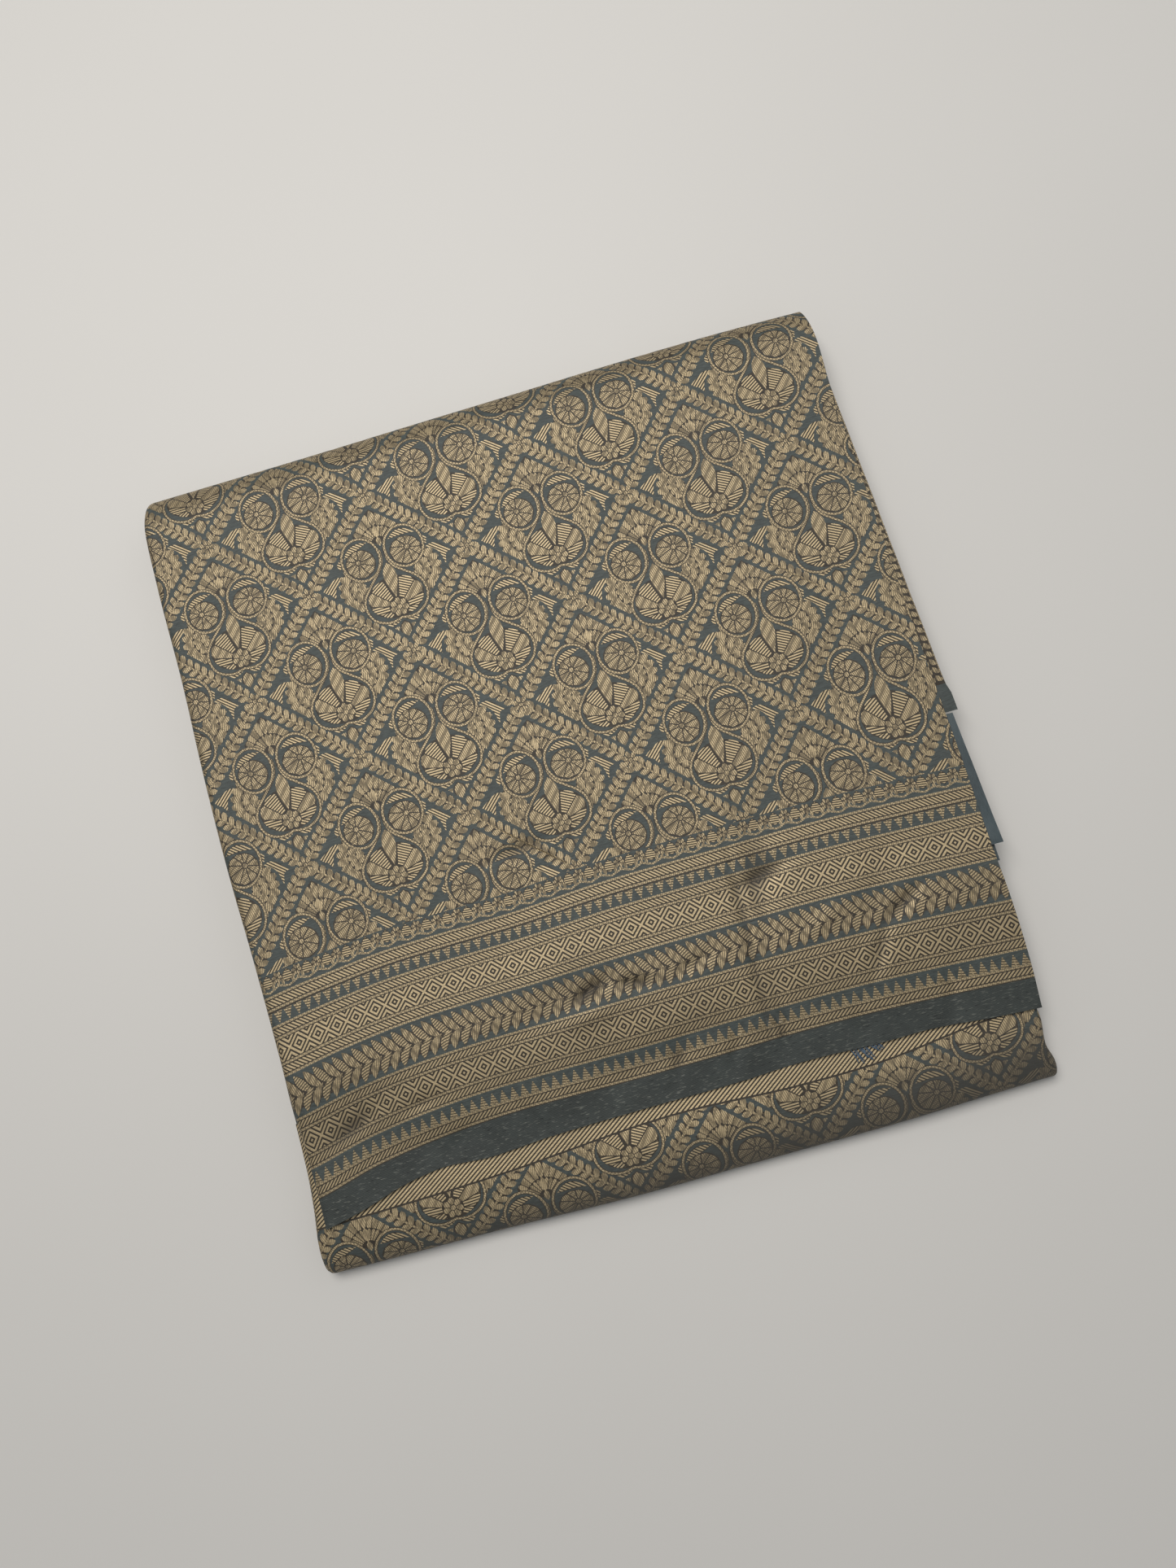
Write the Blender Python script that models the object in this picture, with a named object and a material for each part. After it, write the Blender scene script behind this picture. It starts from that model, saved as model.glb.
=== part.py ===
"""A silk brocade sari folded into a flat packet, lying on its underside.

One length of cloth is halved four times along its length, and the stack of plies is then folded in three
across its width, as a letter is. Every piece is laid out on a regular packet first: a path in the
YZ plane that follows the cloth, and a profile across X whose ends turn down round the folded edges.
The regular packet is then settled into the uneven outline that the cloth really takes.

Metres, +Z up. X runs along the border, +Y points at the far fold, and the origin is at the middle of the
packet on the surface that it lies on.
"""

import math

import bmesh
import bpy
import numpy as np

MM = 0.001

# The cloth as woven, and how often it is folded
CLOTH_LENGTH = 5.50
CLOTH_WIDTH = 1.14
PLIES_ALONG = 16
PANELS_ACROSS = 3
FOLD_BULGE = 5.0 * MM

# The regular packet
HALF_WIDTH = CLOTH_LENGTH / PLIES_ALONG / 2
FRONT = -(CLOTH_WIDTH / PANELS_ACROSS + FOLD_BULGE) / 2
FAR = -FRONT
HEIGHT = 24.0 * MM
ORIGIN_X = 1.87 * MM

# One ply, the air between plies that touch, and the two together
WALL = 1.0 * MM
GAP = 0.3 * MM
SKIN = WALL + GAP

# The far fold: one soft half round over the whole height
FAR_DEEP = 17.5 * MM
FAR_AXIS = (FAR - FAR_DEEP, HEIGHT / 2)

# The front roll: slumped, wide above its widest line and tight below it
ROLL_TOP = 16.5 * MM
ROLL_WAIST = 6.5 * MM
ROLL_DEEP_ABOVE = 28.5 * MM
ROLL_DEEP_BELOW = 12.5 * MM
ROLL_TUCK = -120.0 * MM

# The free edge of the top ply, and the slope that takes it down from the field
EDGE_TOP = 18.6 * MM
SLOPE_START = -98.0 * MM
SLOPE_END = -160.0 * MM
CREASE_ROOM = 0.9 * MM
CREASES_END = (148.0 * MM, 156.0 * MM, 164.0 * MM, 170.0 * MM)

# The folded edges: the radius that a ply turns at, and how far round it goes
LEFT_TURN = 3.4 * MM
LEFT_ANGLE = math.radians(150)
LEFT_ANGLE_AT_FOLDS = math.radians(60)
ROLL_END_TURN = 2.4 * MM
ROLL_END_ANGLE = math.radians(80)

# The hidden stack, as heights of its three panels' faces
BOTTOM_PANEL_TOP = 8.0 * MM
MIDDLE_PANEL_BASE = BOTTOM_PANEL_TOP + GAP
TOP_PANEL_BASE = ROLL_TOP + GAP
TOP_PANEL_FRONT = -132.0 * MM
MIDDLE_PANEL_END = 165.6 * MM
INNER_FAR_AXIS = (166.0 * MM, 12.4 * MM)
INNER_FRONT_AXIS = (-176.0 * MM, 8.15 * MM)
INNER_FAR_DEEP = 2.0 * MM
INNER_FRONT_TURN = 0.6 * MM

# The ledge under the top ply's right edge, for the plies that stand out there
LEDGE_WIDE = 14.0 * MM
LEDGE_DEEP = 0.5 * MM
SLOT_WIDE = 10.0 * MM
SLOT_DEPTHS = (1.9 * MM, 3.5 * MM)
SIDE_NOSE = 0.65 * MM
FACE_STEPS = 9

# Where the settled edges lie, in mm: place across the packet (y), left edge, right edge
TOP_OUTLINE = (
    (-192.0, -168.5, 171.0),
    (-170.0, -167.2, 171.0),
    (-157.0, -166.8, 171.6),
    (-144.0, -166.8, 172.4),
    (-106.0, -167.2, 172.0),
    (-80.0, -167.9, 170.9),
    (-40.0, -169.2, 170.1),
    (0.0, -171.2, 168.7),
    (40.0, -172.0, 167.7),
    (98.0, -171.9, 166.2),
    (148.0, -172.9, 165.2),
    (175.0, -172.6, 165.6),
    (192.0, -170.6, 163.6),
)
LOW_OUTLINE = (
    (-193.0, -173.4, 172.6),
    (-185.0, -173.6, 171.9),
    (-178.0, -173.2, 169.8),
    (-164.0, -171.4, 170.6),
    (-150.0, -170.4, 169.4),
    (-90.0, -170.6, 169.0),
    (0.0, -171.0, 170.2),
    (90.0, -171.4, 168.6),
    (192.0, -170.4, 165.4),
)

# How far the two folded edges bow out of straight, in mm: place along the packet (x), front, far
BOWS = (
    (-172.0, 2.2, -1.9),
    (-100.0, 1.0, -1.6),
    (0.0, 0.0, -0.6),
    (60.0, 0.2, 0.0),
    (100.0, 0.9, 0.2),
    (130.0, 1.6, -0.2),
    (172.0, 2.4, -1.6),
)

# The free selvage edge, in mm: x, y
FREE_EDGE = (
    (-172.0, -170.0),
    (-147.0, -164.6),
    (-127.0, -158.8),
    (-108.0, -155.8),
    (-86.0, -156.8),
    (-58.0, -154.4),
    (-10.0, -159.4),
    (30.0, -155.6),
    (67.0, -152.8),
    (98.0, -153.8),
    (123.0, -153.6),
    (148.0, -156.0),
    (174.0, -157.6),
)

# Soft creases pressed into the top, in mm: middle x, y, half length, half width, depth, turn in degrees
CREASES = (
    (57.0, -118.0, 62.0, 8.0, 0.8, 82.0),
    (-38.0, -98.0, 26.0, 9.0, 0.7, 20.0),
    (66.0, -66.0, 34.0, 10.0, 0.6, 65.0),
    (-104.0, -146.0, 20.0, 10.0, 0.9, 0.0),
    (0.0, -134.0, 30.0, 9.0, 0.7, 15.0),
    (-150.0, -128.0, 30.0, 12.0, 0.6, 35.0),
    (112.0, -96.0, 24.0, 9.0, 0.5, 60.0),
)

# The plies that stand out at the right, in mm: y, outer edge
SIDE_PLY_EDGE = ((-18.8, 175.7), (-7.0, 175.2), (-6.0, 174.0), (40.0, 171.3), (98.0, 168.2), (146.0, 165.6))
PLAIN_END_EDGE = ((-82.2, 176.9), (-40.0, 174.2), (-19.6, 172.9))
PLAIN_END_UNDER_EDGE = ((-89.8, 173.6), (-48.0, 172.4))


def through(rows, place, column=1):
    """A smooth curve through one column of a table in mm, read at a place in metres."""
    xs = [row[0] for row in rows]
    ys = [row[column] for row in rows]
    x = min(max(place / MM, xs[0]), xs[-1])
    k = min(max(int(np.searchsorted(xs, x)) - 1, 0), len(xs) - 2)
    slopes = np.gradient(np.array(ys), np.array(xs))
    step = xs[k + 1] - xs[k]
    t = (x - xs[k]) / step
    start = ys[k] * (1 + 2 * t) + slopes[k] * step * t
    end = ys[k + 1] * (3 - 2 * t) + slopes[k + 1] * step * (t - 1)
    return (start * (1 - t) ** 2 + end * t**2) * MM


def ease(value, low, high):
    """0 below low and 1 above high, with a soft change between them."""
    t = min(max((value - low) / (high - low), 0.0), 1.0)
    return t * t * (3 - 2 * t)


def crease_depth(x, y):
    """How far the creases press the top down at a point."""
    depth = 0.0
    for middle_x, middle_y, half_length, half_width, deep, turn in CREASES:
        along_x = math.cos(math.radians(turn))
        along_y = math.sin(math.radians(turn))
        dx = x / MM - middle_x
        dy = y / MM - middle_y
        along = (dx * along_x + dy * along_y) / half_length
        across = (dy * along_x - dx * along_y) / half_width
        depth += deep * math.exp(-along * along - across * across)
    return depth * MM


def settle(x, y, z, upper):
    """Moves a point of the regular packet to where the cloth lies: upper is 1 on top, 0 below."""
    column = 1 if x < 0 else 2
    side = -1 if x < 0 else 1
    edge = upper * through(TOP_OUTLINE, y, column) + (1 - upper) * through(LOW_OUTLINE, y, column)
    reach = ease(abs(x) / HALF_WIDTH, 0.35, 0.95)
    settled_x = x + reach * (edge - side * HALF_WIDTH)
    settled_y = y
    settled_y += through(BOWS, x, 1) * ease(-y, 120 * MM, 176 * MM)
    settled_y += through(BOWS, x, 2) * ease(y, 110 * MM, 176 * MM)
    return settled_x - ORIGIN_X, settled_y, z


def top_height(y):
    """The height of the top ply's upper face."""
    return HEIGHT - (HEIGHT - EDGE_TOP) * ease(-y, -SLOPE_START, -SLOPE_END)


def arc(axis, deep, high, start, end, steps, inset=0.0):
    """Points at an inset within an ellipse about axis, from one angle to another above +Y."""
    points = []
    for a in np.radians(np.linspace(start, end, steps + 1)):
        out_y = high * math.cos(a)
        out_z = deep * math.sin(a)
        share = inset / math.hypot(out_y, out_z)
        y = axis[0] + deep * math.cos(a) - share * out_y
        z = axis[1] + high * math.sin(a) - share * out_z
        points.append((y, z))
    return points


def straight(start, end, steps):
    """Points of a straight run, with its first and last point."""
    ts = np.linspace(0, 1, steps + 1)
    return [(start[0] + (end[0] - start[0]) * t, start[1] + (end[1] - start[1]) * t) for t in ts]


def outward(path):
    """The unit normals of a path, pointing out of the packet."""
    points = np.array(path)
    along = np.gradient(points, axis=0)
    along /= np.linalg.norm(along, axis=1)[:, None]
    return [(-dz, dy) for dy, dz in along]


def finish(name, mesh, colour, roughness, metallic):
    """Makes the mesh a smooth-shaded object with its own material."""
    material = bpy.data.materials.new(name)
    material.use_nodes = True
    shader = material.node_tree.nodes["Principled BSDF"]
    shader.inputs["Base Color"].default_value = (*colour, 1)
    shader.inputs["Roughness"].default_value = roughness
    shader.inputs["Metallic"].default_value = metallic
    mesh.materials.append(material)
    mesh.shade_smooth()
    mesh.set_sharp_from_angle(angle=math.radians(40))
    made = bpy.data.objects.new(name, mesh)
    bpy.context.collection.objects.link(made)
    return made


def sheet(name, points, colour, roughness, metallic):
    """A wall one ply thick, inwards from a grid of points: rows along the cloth, columns across it."""
    bm = bmesh.new()
    rows = len(points) - 1
    columns = len(points[0]) - 1
    bmesh.ops.create_grid(bm, x_segments=columns, y_segments=rows, size=0.5)
    for vert in bm.verts:
        row = round((vert.co.y + 0.5) * rows)
        column = round((vert.co.x + 0.5) * columns)
        vert.co = points[row][column]
    mesh = bpy.data.meshes.new(name)
    bm.to_mesh(mesh)
    bm.free()
    made = finish(name, mesh, colour, roughness, metallic)
    wall = made.modifiers.new("Wall", "SOLIDIFY")
    wall.thickness = WALL
    wall.offset = -1
    wall.use_even_offset = True
    return made


def across(left_turn, left_angle, right_turn, right_angle, steps):
    """A ply's profile across X: x and depth below the outer face, with each end turned down."""
    profile = []
    for k in range(7):
        a = left_angle * (1 - k / 7)
        profile.append((-HALF_WIDTH + left_turn * (1 - math.sin(a)), left_turn * (1 - math.cos(a))))
    profile += straight((-HALF_WIDTH + left_turn, 0), (HALF_WIDTH - right_turn, 0), steps)
    if right_turn:
        for k in range(1, 5):
            a = right_angle * k / 4
            profile.append((HALF_WIDTH - right_turn * (1 - math.sin(a)), right_turn * (1 - math.cos(a))))
    return profile


def along(path, profile_at, upper_at):
    """Rows of settled points: a profile for each point of the path, its depth taken along the normal."""
    rows = []
    for (y, z), (normal_y, normal_z) in zip(path, outward(path)):
        upper = upper_at(y, z)
        profile = profile_at(y, z)
        rows.append([settle(x, y - normal_y * deep, z - normal_z * deep, upper) for x, deep in profile])
    return rows


def fold_level(z):
    """How much a point of the far fold belongs to the top panel."""
    return ease(z, 4 * MM, 20 * MM)


def angle_for_depth(turn, depth, most):
    """How far round a turned edge may go before it reaches a depth, up to an angle."""
    if depth >= 2 * turn:
        return most
    return min(most, math.acos(1 - depth / turn))


def angle_for_wall(turn, room, most):
    """The same for a wall one ply thick: short of a quarter turn its inner face is the lower one."""
    if room >= turn:
        return angle_for_depth(turn, room, most)
    return min(most, math.acos((turn - room) / (turn - WALL)))


def top_ply():
    """From the free selvage edge over the border and the field, and round the far fold."""
    steps = np.concatenate((np.linspace(SLOPE_END, -100 * MM, 8), np.linspace(-80 * MM, FAR_AXIS[0], 12)))
    path = [(y, top_height(y)) for y in steps]
    path += arc(FAR_AXIS, FAR_DEEP, HEIGHT / 2, 90, -55, 14)[1:]

    def profile_at(y, z):
        room = z - ROLL_TOP - 2 * GAP if y < 0 else 2 * LEFT_TURN
        fold = ease(y, FAR_AXIS[0] - 20 * MM, FAR_AXIS[0] + 6 * MM)
        most = LEFT_ANGLE + (LEFT_ANGLE_AT_FOLDS - LEFT_ANGLE) * fold
        return across(LEFT_TURN, angle_for_wall(LEFT_TURN, room, most), 0, 0, 22)

    def upper_at(y, z):
        return fold_level(z) if y > 0 else 1.0

    rows = along(path, profile_at, upper_at)
    lowest = ROLL_TOP + GAP + WALL + 0.1 * MM
    reach = -100 * MM
    for row in rows:
        for k, (x, y, z) in enumerate(row):
            # The rows near the front are spread so that the first one lies on the wavy free edge.
            share = max((y - reach) / (SLOPE_END - reach), 0)
            edge_shift = (through(FREE_EDGE, x) - SLOPE_END) * share**2
            pressed = min(crease_depth(x, y) * ease(z, 12 * MM, 18 * MM), max(z - lowest, 0))
            row[k] = (x, y + edge_shift, z - pressed)
    sheet("top_ply", rows, (0.36, 0.27, 0.15), 0.55, 0.35)


def underside_ply():
    """Flat under the packet, from the far fold to the front roll."""
    path = arc(FAR_AXIS, FAR_DEEP, HEIGHT / 2, -60, -90, 3)
    axis = (FRONT + ROLL_DEEP_BELOW, ROLL_WAIST)
    path += straight((FAR_AXIS[0], 0), (axis[0], 0), 14)[1:]
    path += arc(axis, ROLL_DEEP_BELOW, ROLL_WAIST, 270, 242, 2)[1:]

    def profile_at(y, z):
        fold = max(ease(y, FAR_AXIS[0] - 20 * MM, FAR_AXIS[0]), ease(-y, 150 * MM, 178 * MM))
        return across(LEFT_TURN, LEFT_ANGLE + (LEFT_ANGLE_AT_FOLDS - LEFT_ANGLE) * fold, 0, 0, 14)

    sheet("underside_ply", along(path, profile_at, lambda y, z: 0.0), (0.30, 0.23, 0.14), 0.6, 0.3)


def front_roll():
    """Up round the soft front fold and in under the top ply."""
    path = arc((FRONT + ROLL_DEEP_BELOW, ROLL_WAIST), ROLL_DEEP_BELOW, ROLL_WAIST, 238, 180, 6)
    axis = (FRONT + ROLL_DEEP_ABOVE, ROLL_WAIST)
    path += arc(axis, ROLL_DEEP_ABOVE, ROLL_TOP - ROLL_WAIST, 180, 90, 12)[1:]
    path += straight((axis[0], ROLL_TOP), (ROLL_TUCK, ROLL_TOP), 4)[1:]

    def profile_at(y, z):
        flat = ease(y, axis[0] - 8 * MM, axis[0] + 10 * MM)
        left = LEFT_ANGLE_AT_FOLDS + (math.radians(110) - LEFT_ANGLE_AT_FOLDS) * flat
        return across(LEFT_TURN, left, ROLL_END_TURN, ROLL_END_ANGLE, 18)

    sheet("front_roll", along(path, profile_at, lambda y, z: 0.0), (0.33, 0.25, 0.14), 0.55, 0.35)


def stack_ring(outer, inner, cover, right_inset, upper):
    """A section of the stack from its outer to its inner face; cover is the way up to the skin."""
    deep = math.dist(outer, inner)
    toward = ((inner[0] - outer[0]) / deep, (inner[1] - outer[1]) / deep)
    squeeze = min(1.0, deep / (SLOT_DEPTHS[1] + 1.5 * MM))
    closing = (1.0 + 1.2 * max(deep / MM - 7.2, 0.0)) * MM
    closing = min(closing, 9.0 * MM)
    right = HALF_WIDTH - right_inset
    in_fold = max(ease(outer[0], 135 * MM, 165 * MM), ease(-outer[0], 130 * MM, 165 * MM))
    left = -HALF_WIDTH + cover + 1.2 * MM * in_fold
    turn = LEFT_TURN - cover
    last = min((deep / squeeze - SLOT_DEPTHS[1]) / 2 - 0.05 * MM, 1.3 * MM)
    profile = straight((left + turn, 0), (right - LEDGE_WIDE, 0), FACE_STEPS)
    profile += [(right - LEDGE_WIDE, LEDGE_DEEP)]
    for k in range(5):
        a = math.pi * k / 4
        depth = LEDGE_DEEP + SIDE_NOSE * (1 - math.cos(a))
        profile.append((right - SIDE_NOSE * (1 - math.sin(a)), depth))
    profile += [(right - SLOT_WIDE, SLOT_DEPTHS[0]), (right - SLOT_WIDE, SLOT_DEPTHS[1])]
    for k in range(5):
        a = math.pi * k / 4
        depth = SLOT_DEPTHS[1] + 0.02 * MM + last * (1 - math.cos(a))
        profile.append((right - last * (1 - math.sin(a)), depth))
    profile = [(x, depth * squeeze) for x, depth in profile]
    profile += straight((right - max(closing, 2.5 * MM), deep), (left + 8 * MM, deep), FACE_STEPS)
    round_to = angle_for_depth(turn, deep - 0.2 * MM, math.radians(180))
    for k in range(6):
        a = round_to * (1 - k / 6)
        profile.append((left + turn * (1 - math.sin(a)), turn * (1 - math.cos(a))))
    places = [(x, outer[0] + toward[0] * depth, outer[1] + toward[1] * depth) for x, depth in profile]
    return [settle(x, y, z, upper) for x, y, z in places]


def stack_sections():
    """The stack's faces along its folded length: outer face, inner face, share of the top panel, cover."""
    places = (*np.linspace(TOP_PANEL_FRONT, -90 * MM, 5), *np.linspace(-60 * MM, 120 * MM, 7), *CREASES_END)
    cover = [SKIN + CREASE_ROOM * (1 - ease(y, CREASES_END[0], CREASES_END[-1])) for y in places]
    outer = [(y, top_height(y) - deep) for y, deep in zip(places, cover)]
    inner = [(y, TOP_PANEL_BASE) for y in places]
    upper = [1.0] * len(outer)
    outer += arc(FAR_AXIS, FAR_DEEP, HEIGHT / 2, 90, -90, 14, SKIN)
    inner += arc(INNER_FAR_AXIS, INNER_FAR_DEEP, TOP_PANEL_BASE - INNER_FAR_AXIS[1], 90, -90, 14)
    upper += [fold_level(z) for y, z in outer[len(upper):]]
    axis = (FRONT + ROLL_DEEP_BELOW, ROLL_WAIST)
    below = straight((150 * MM, SKIN), (-160 * MM, SKIN), 12)
    outer += below
    inner += [(y, BOTTOM_PANEL_TOP) for y, z in below]
    outer += [(axis[0] + 8 * MM, SKIN)]
    inner += [(INNER_FRONT_AXIS[0] + 6 * MM, BOTTOM_PANEL_TOP - 0.2 * MM)]
    outer += arc(axis, ROLL_DEEP_BELOW, ROLL_WAIST, 270, 180, 6, SKIN)
    above = (FRONT + ROLL_DEEP_ABOVE, ROLL_WAIST)
    outer += arc(above, ROLL_DEEP_ABOVE, ROLL_TOP - ROLL_WAIST, 180, 90, 12, SKIN)[1:]
    inner += arc(INNER_FRONT_AXIS, INNER_FRONT_TURN, INNER_FRONT_TURN, 270, 90, 18)
    for y in (-150 * MM, -135 * MM, ROLL_TUCK + 3 * MM):
        outer += [(y, ROLL_TOP - SKIN)]
        inner += [(y, MIDDLE_PANEL_BASE)]
    back = straight((ROLL_TUCK + 8 * MM, ROLL_TOP), (MIDDLE_PANEL_END, ROLL_TOP), 10)
    outer += back
    inner += [(y, MIDDLE_PANEL_BASE) for y, z in back]
    upper += [0.0] * (len(outer) - len(upper))
    cover += [SKIN] * (len(outer) - len(cover))
    return outer, inner, upper, cover


def inner_layers():
    """The hidden plies as one slab folded in three, with its edges layered at both sides."""
    rings = []
    for out_point, in_point, upper, cover in zip(*stack_sections()):
        in_roll = out_point[1] < ROLL_TOP - GAP and out_point[0] < ROLL_TUCK + 5 * MM
        right_inset = ease(-out_point[0], 110 * MM, 117 * MM) * SKIN if in_roll else 0.0
        if out_point[1] < ROLL_WAIST:
            right_inset = ease(-out_point[0], 160 * MM, 172 * MM) * SKIN
        rings.append(stack_ring(out_point, in_point, cover, right_inset, upper))
    bm = bmesh.new()
    loops = []
    for ring in rings:
        verts = [bm.verts.new(point) for point in ring]
        loops.append([bm.edges.new((verts[k - 1], verts[k])) for k in range(len(verts))])
    for first, second in zip(loops, loops[1:]):
        bmesh.ops.bridge_loops(bm, edges=first + second)
    bmesh.ops.holes_fill(bm, edges=loops[0] + loops[-1], sides=0)
    bmesh.ops.recalc_face_normals(bm, faces=bm.faces)
    mesh = bpy.data.meshes.new("inner_layers")
    bm.to_mesh(mesh)
    bm.free()
    finish("inner_layers", mesh, (0.27, 0.22, 0.14), 0.65, 0.2)


def edge_plate(name, edge_rows, inner_wide, top, colour):
    """A flat stretch of an inner ply whose outer edge stands out at the right."""
    steps = max(4, round((edge_rows[-1][0] - edge_rows[0][0]) / 8))
    rows = []
    for y in np.linspace(edge_rows[0][0], edge_rows[-1][0], steps + 1) * MM:
        settled_edge = through(TOP_OUTLINE, y, 2)
        outer_edge = np.interp(y / MM, [row[0] for row in edge_rows], [row[1] for row in edge_rows]) * MM
        inner_edge = settled_edge - inner_wide
        xs = np.linspace(inner_edge, outer_edge, 4)
        rows.append([(x - ORIGIN_X, y, top) for x in xs])
    return sheet(name, rows, colour, 0.6, 0.1)


def standing_out():
    """The inner plies whose edges show along the right side."""
    ledge_top = HEIGHT - SKIN - CREASE_ROOM - LEDGE_DEEP + GAP + WALL
    slot_top = HEIGHT - SKIN - CREASE_ROOM - SLOT_DEPTHS[1] + GAP + WALL
    edge_plate("side_ply", SIDE_PLY_EDGE, LEDGE_WIDE - 0.6 * MM, ledge_top, (0.34, 0.26, 0.15))
    edge_plate("plain_end", PLAIN_END_EDGE, LEDGE_WIDE - 0.6 * MM, ledge_top, (0.06, 0.11, 0.14))
    edge_plate("plain_end_under", PLAIN_END_UNDER_EDGE, SLOT_WIDE - 0.6 * MM, slot_top, (0.05, 0.10, 0.12))


for old in list(bpy.data.objects):
    bpy.data.objects.remove(old)

top_ply()
underside_ply()
front_roll()
inner_layers()
standing_out()
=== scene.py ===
import math

import bmesh
import bpy
import numpy as np
from mathutils import Matrix, Vector
from mathutils.geometry import delaunay_2d_cdt


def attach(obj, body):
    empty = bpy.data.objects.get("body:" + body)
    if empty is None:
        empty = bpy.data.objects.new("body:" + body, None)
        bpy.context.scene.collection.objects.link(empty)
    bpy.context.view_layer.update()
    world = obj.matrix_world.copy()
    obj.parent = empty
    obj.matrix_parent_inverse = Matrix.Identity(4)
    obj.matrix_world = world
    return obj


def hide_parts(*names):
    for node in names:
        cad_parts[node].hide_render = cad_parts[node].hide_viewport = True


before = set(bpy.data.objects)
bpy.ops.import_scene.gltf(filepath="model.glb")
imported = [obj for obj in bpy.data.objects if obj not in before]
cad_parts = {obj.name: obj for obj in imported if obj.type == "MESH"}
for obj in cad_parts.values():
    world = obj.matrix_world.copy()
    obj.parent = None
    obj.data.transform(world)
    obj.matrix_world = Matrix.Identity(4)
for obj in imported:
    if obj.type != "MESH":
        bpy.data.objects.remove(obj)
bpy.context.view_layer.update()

# The camera: above the near half of the packet and looking almost straight down, turned a little.
# Its place is in millimetres, like every size below.
MM = 0.001
right = Vector((0.9616, -0.2668, -0.0641))
up = Vector((0.2727, 0.9551, 0.1161))
back = Vector((0.0302, -0.1291, 0.9912))
lens = bpy.data.cameras.new("camera")
lens.sensor_width = 36.0
lens.lens = 27.0
lens.clip_start = 0.01
camera = bpy.data.objects.new("camera", lens)
stand = Matrix((right, up, back)).transposed().to_4x4()
camera.matrix_world = Matrix.Translation(Vector((17.83, -75.9, 563.4)) * MM) @ stand
bpy.context.collection.objects.link(camera)
bpy.context.scene.camera = camera
bpy.context.scene.view_settings.view_transform = "Standard"


# The table: a plain pale top that the packet lies on, far wider than the picture. It is one thin grid just
# under the cloth, with a faint cloud in its paint.
class Value:
    """A shader socket that can be written in sums: an operator adds the Math node that works it out."""

    def __init__(self, tree, socket=None):
        self.tree = tree
        self.socket = socket

    def node(self, kind, settings, values, out=0):
        """Adds any other node: its settings first, then its sockets' values or links. Gives one output."""
        made = self.tree.nodes.new(kind)
        for name, setting in settings.items():
            setattr(made, name, setting)
        self.feed(made, values)
        return Value(self.tree, made.outputs[out])

    def feed(self, made, values):
        for key, value in values.items():
            if isinstance(value, Value):
                self.tree.links.new(value.socket, made.inputs[key])
            else:
                made.inputs[key].default_value = value

    def surface(self, values):
        """Sets or links the main shader's sockets."""
        self.feed(self.tree.nodes["Principled BSDF"], values)

    def maths(self, operation, first, second=0.0):
        return self.node("ShaderNodeMath", {"operation": operation}, {0: first, 1: second})

    def __add__(self, other):
        return self.maths("ADD", self, other)

    __radd__ = __add__

    def __sub__(self, other):
        return self.maths("SUBTRACT", self, other)

    def __rsub__(self, other):
        return self.maths("SUBTRACT", other, self)

    def __mul__(self, other):
        return self.maths("MULTIPLY", self, other)

    __rmul__ = __mul__

    def wave(self):
        """1 at whole numbers and 0 half way between them."""
        return self.maths("COSINE", self * math.tau) * 0.5 + 0.5

    def rise(self, low, high):
        """0 below low, 1 above high, and a straight rise between."""
        values = {"Value": self, "From Min": low, "From Max": high}
        return self.node("ShaderNodeMapRange", {"clamp": True}, values)

    def blend(self, first, second):
        """A colour between two colours."""
        return self.node("ShaderNodeMix", {"data_type": "RGBA"}, {0: self, 6: first, 7: second}, 2)

    def part(self, axis):
        return self.node("ShaderNodeSeparateXYZ", {}, {"Vector": self}, axis)

    def attribute(self, name):
        return self.node("ShaderNodeAttribute", {"attribute_name": name}, {}, "Vector")

    def noise(self, scale, detail=2.0):
        return self.node("ShaderNodeTexNoise", {}, {"Vector": self, "Scale": scale, "Detail": detail})

    def stretched(self, scale, turn=0.0):
        values = {"Vector": self, "Scale": scale, "Rotation": (0, 0, math.radians(turn))}
        return self.node("ShaderNodeMapping", {}, values)

    def relief(self, strength, depth):
        """A bump that this height makes."""
        return self.node("ShaderNodeBump", {}, {"Strength": strength, "Distance": depth, "Height": self})


def finish_named(name):
    """A new material, and a value in its node tree to start from."""
    made = bpy.data.materials.new(name)
    made.use_nodes = True
    return made, Value(made.node_tree)


def add_object(name, mesh, material):
    made = bpy.data.objects.new(name, mesh)
    bpy.context.collection.objects.link(made)
    mesh.materials.append(material)
    return made


def mesh_of(name, bm):
    """The finished bmesh as a smooth mesh."""
    mesh = bpy.data.meshes.new(name)
    bm.to_mesh(mesh)
    bm.free()
    mesh.shade_smooth()
    return mesh


table_finish, paint = finish_named("table")
place = paint.node("ShaderNodeTexCoord", {}, {}, "Object")
pale = place.noise(3.0).blend((0.60, 0.585, 0.56, 1), (0.64, 0.625, 0.60, 1))
paint.surface({"Base Color": pale, "Roughness": 0.55})
bm = bmesh.new()
bmesh.ops.create_grid(bm, x_segments=2, y_segments=2, size=2.5)
bmesh.ops.translate(bm, verts=bm.verts, vec=(0, 0, -0.0002))
add_object("table", mesh_of("table", bm), table_finish)

# The light: one broad soft panel overhead, a weaker one from the upper right, and a dim grey room.
# Both panels are large, so the packet's shadow on the table is soft.
room = bpy.data.worlds.new("room")
room.use_nodes = True
room.node_tree.nodes["Background"].inputs["Color"].default_value = (0.95, 0.98, 1.0, 1)
room.node_tree.nodes["Background"].inputs["Strength"].default_value = 0.27
bpy.context.scene.world = room


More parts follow.
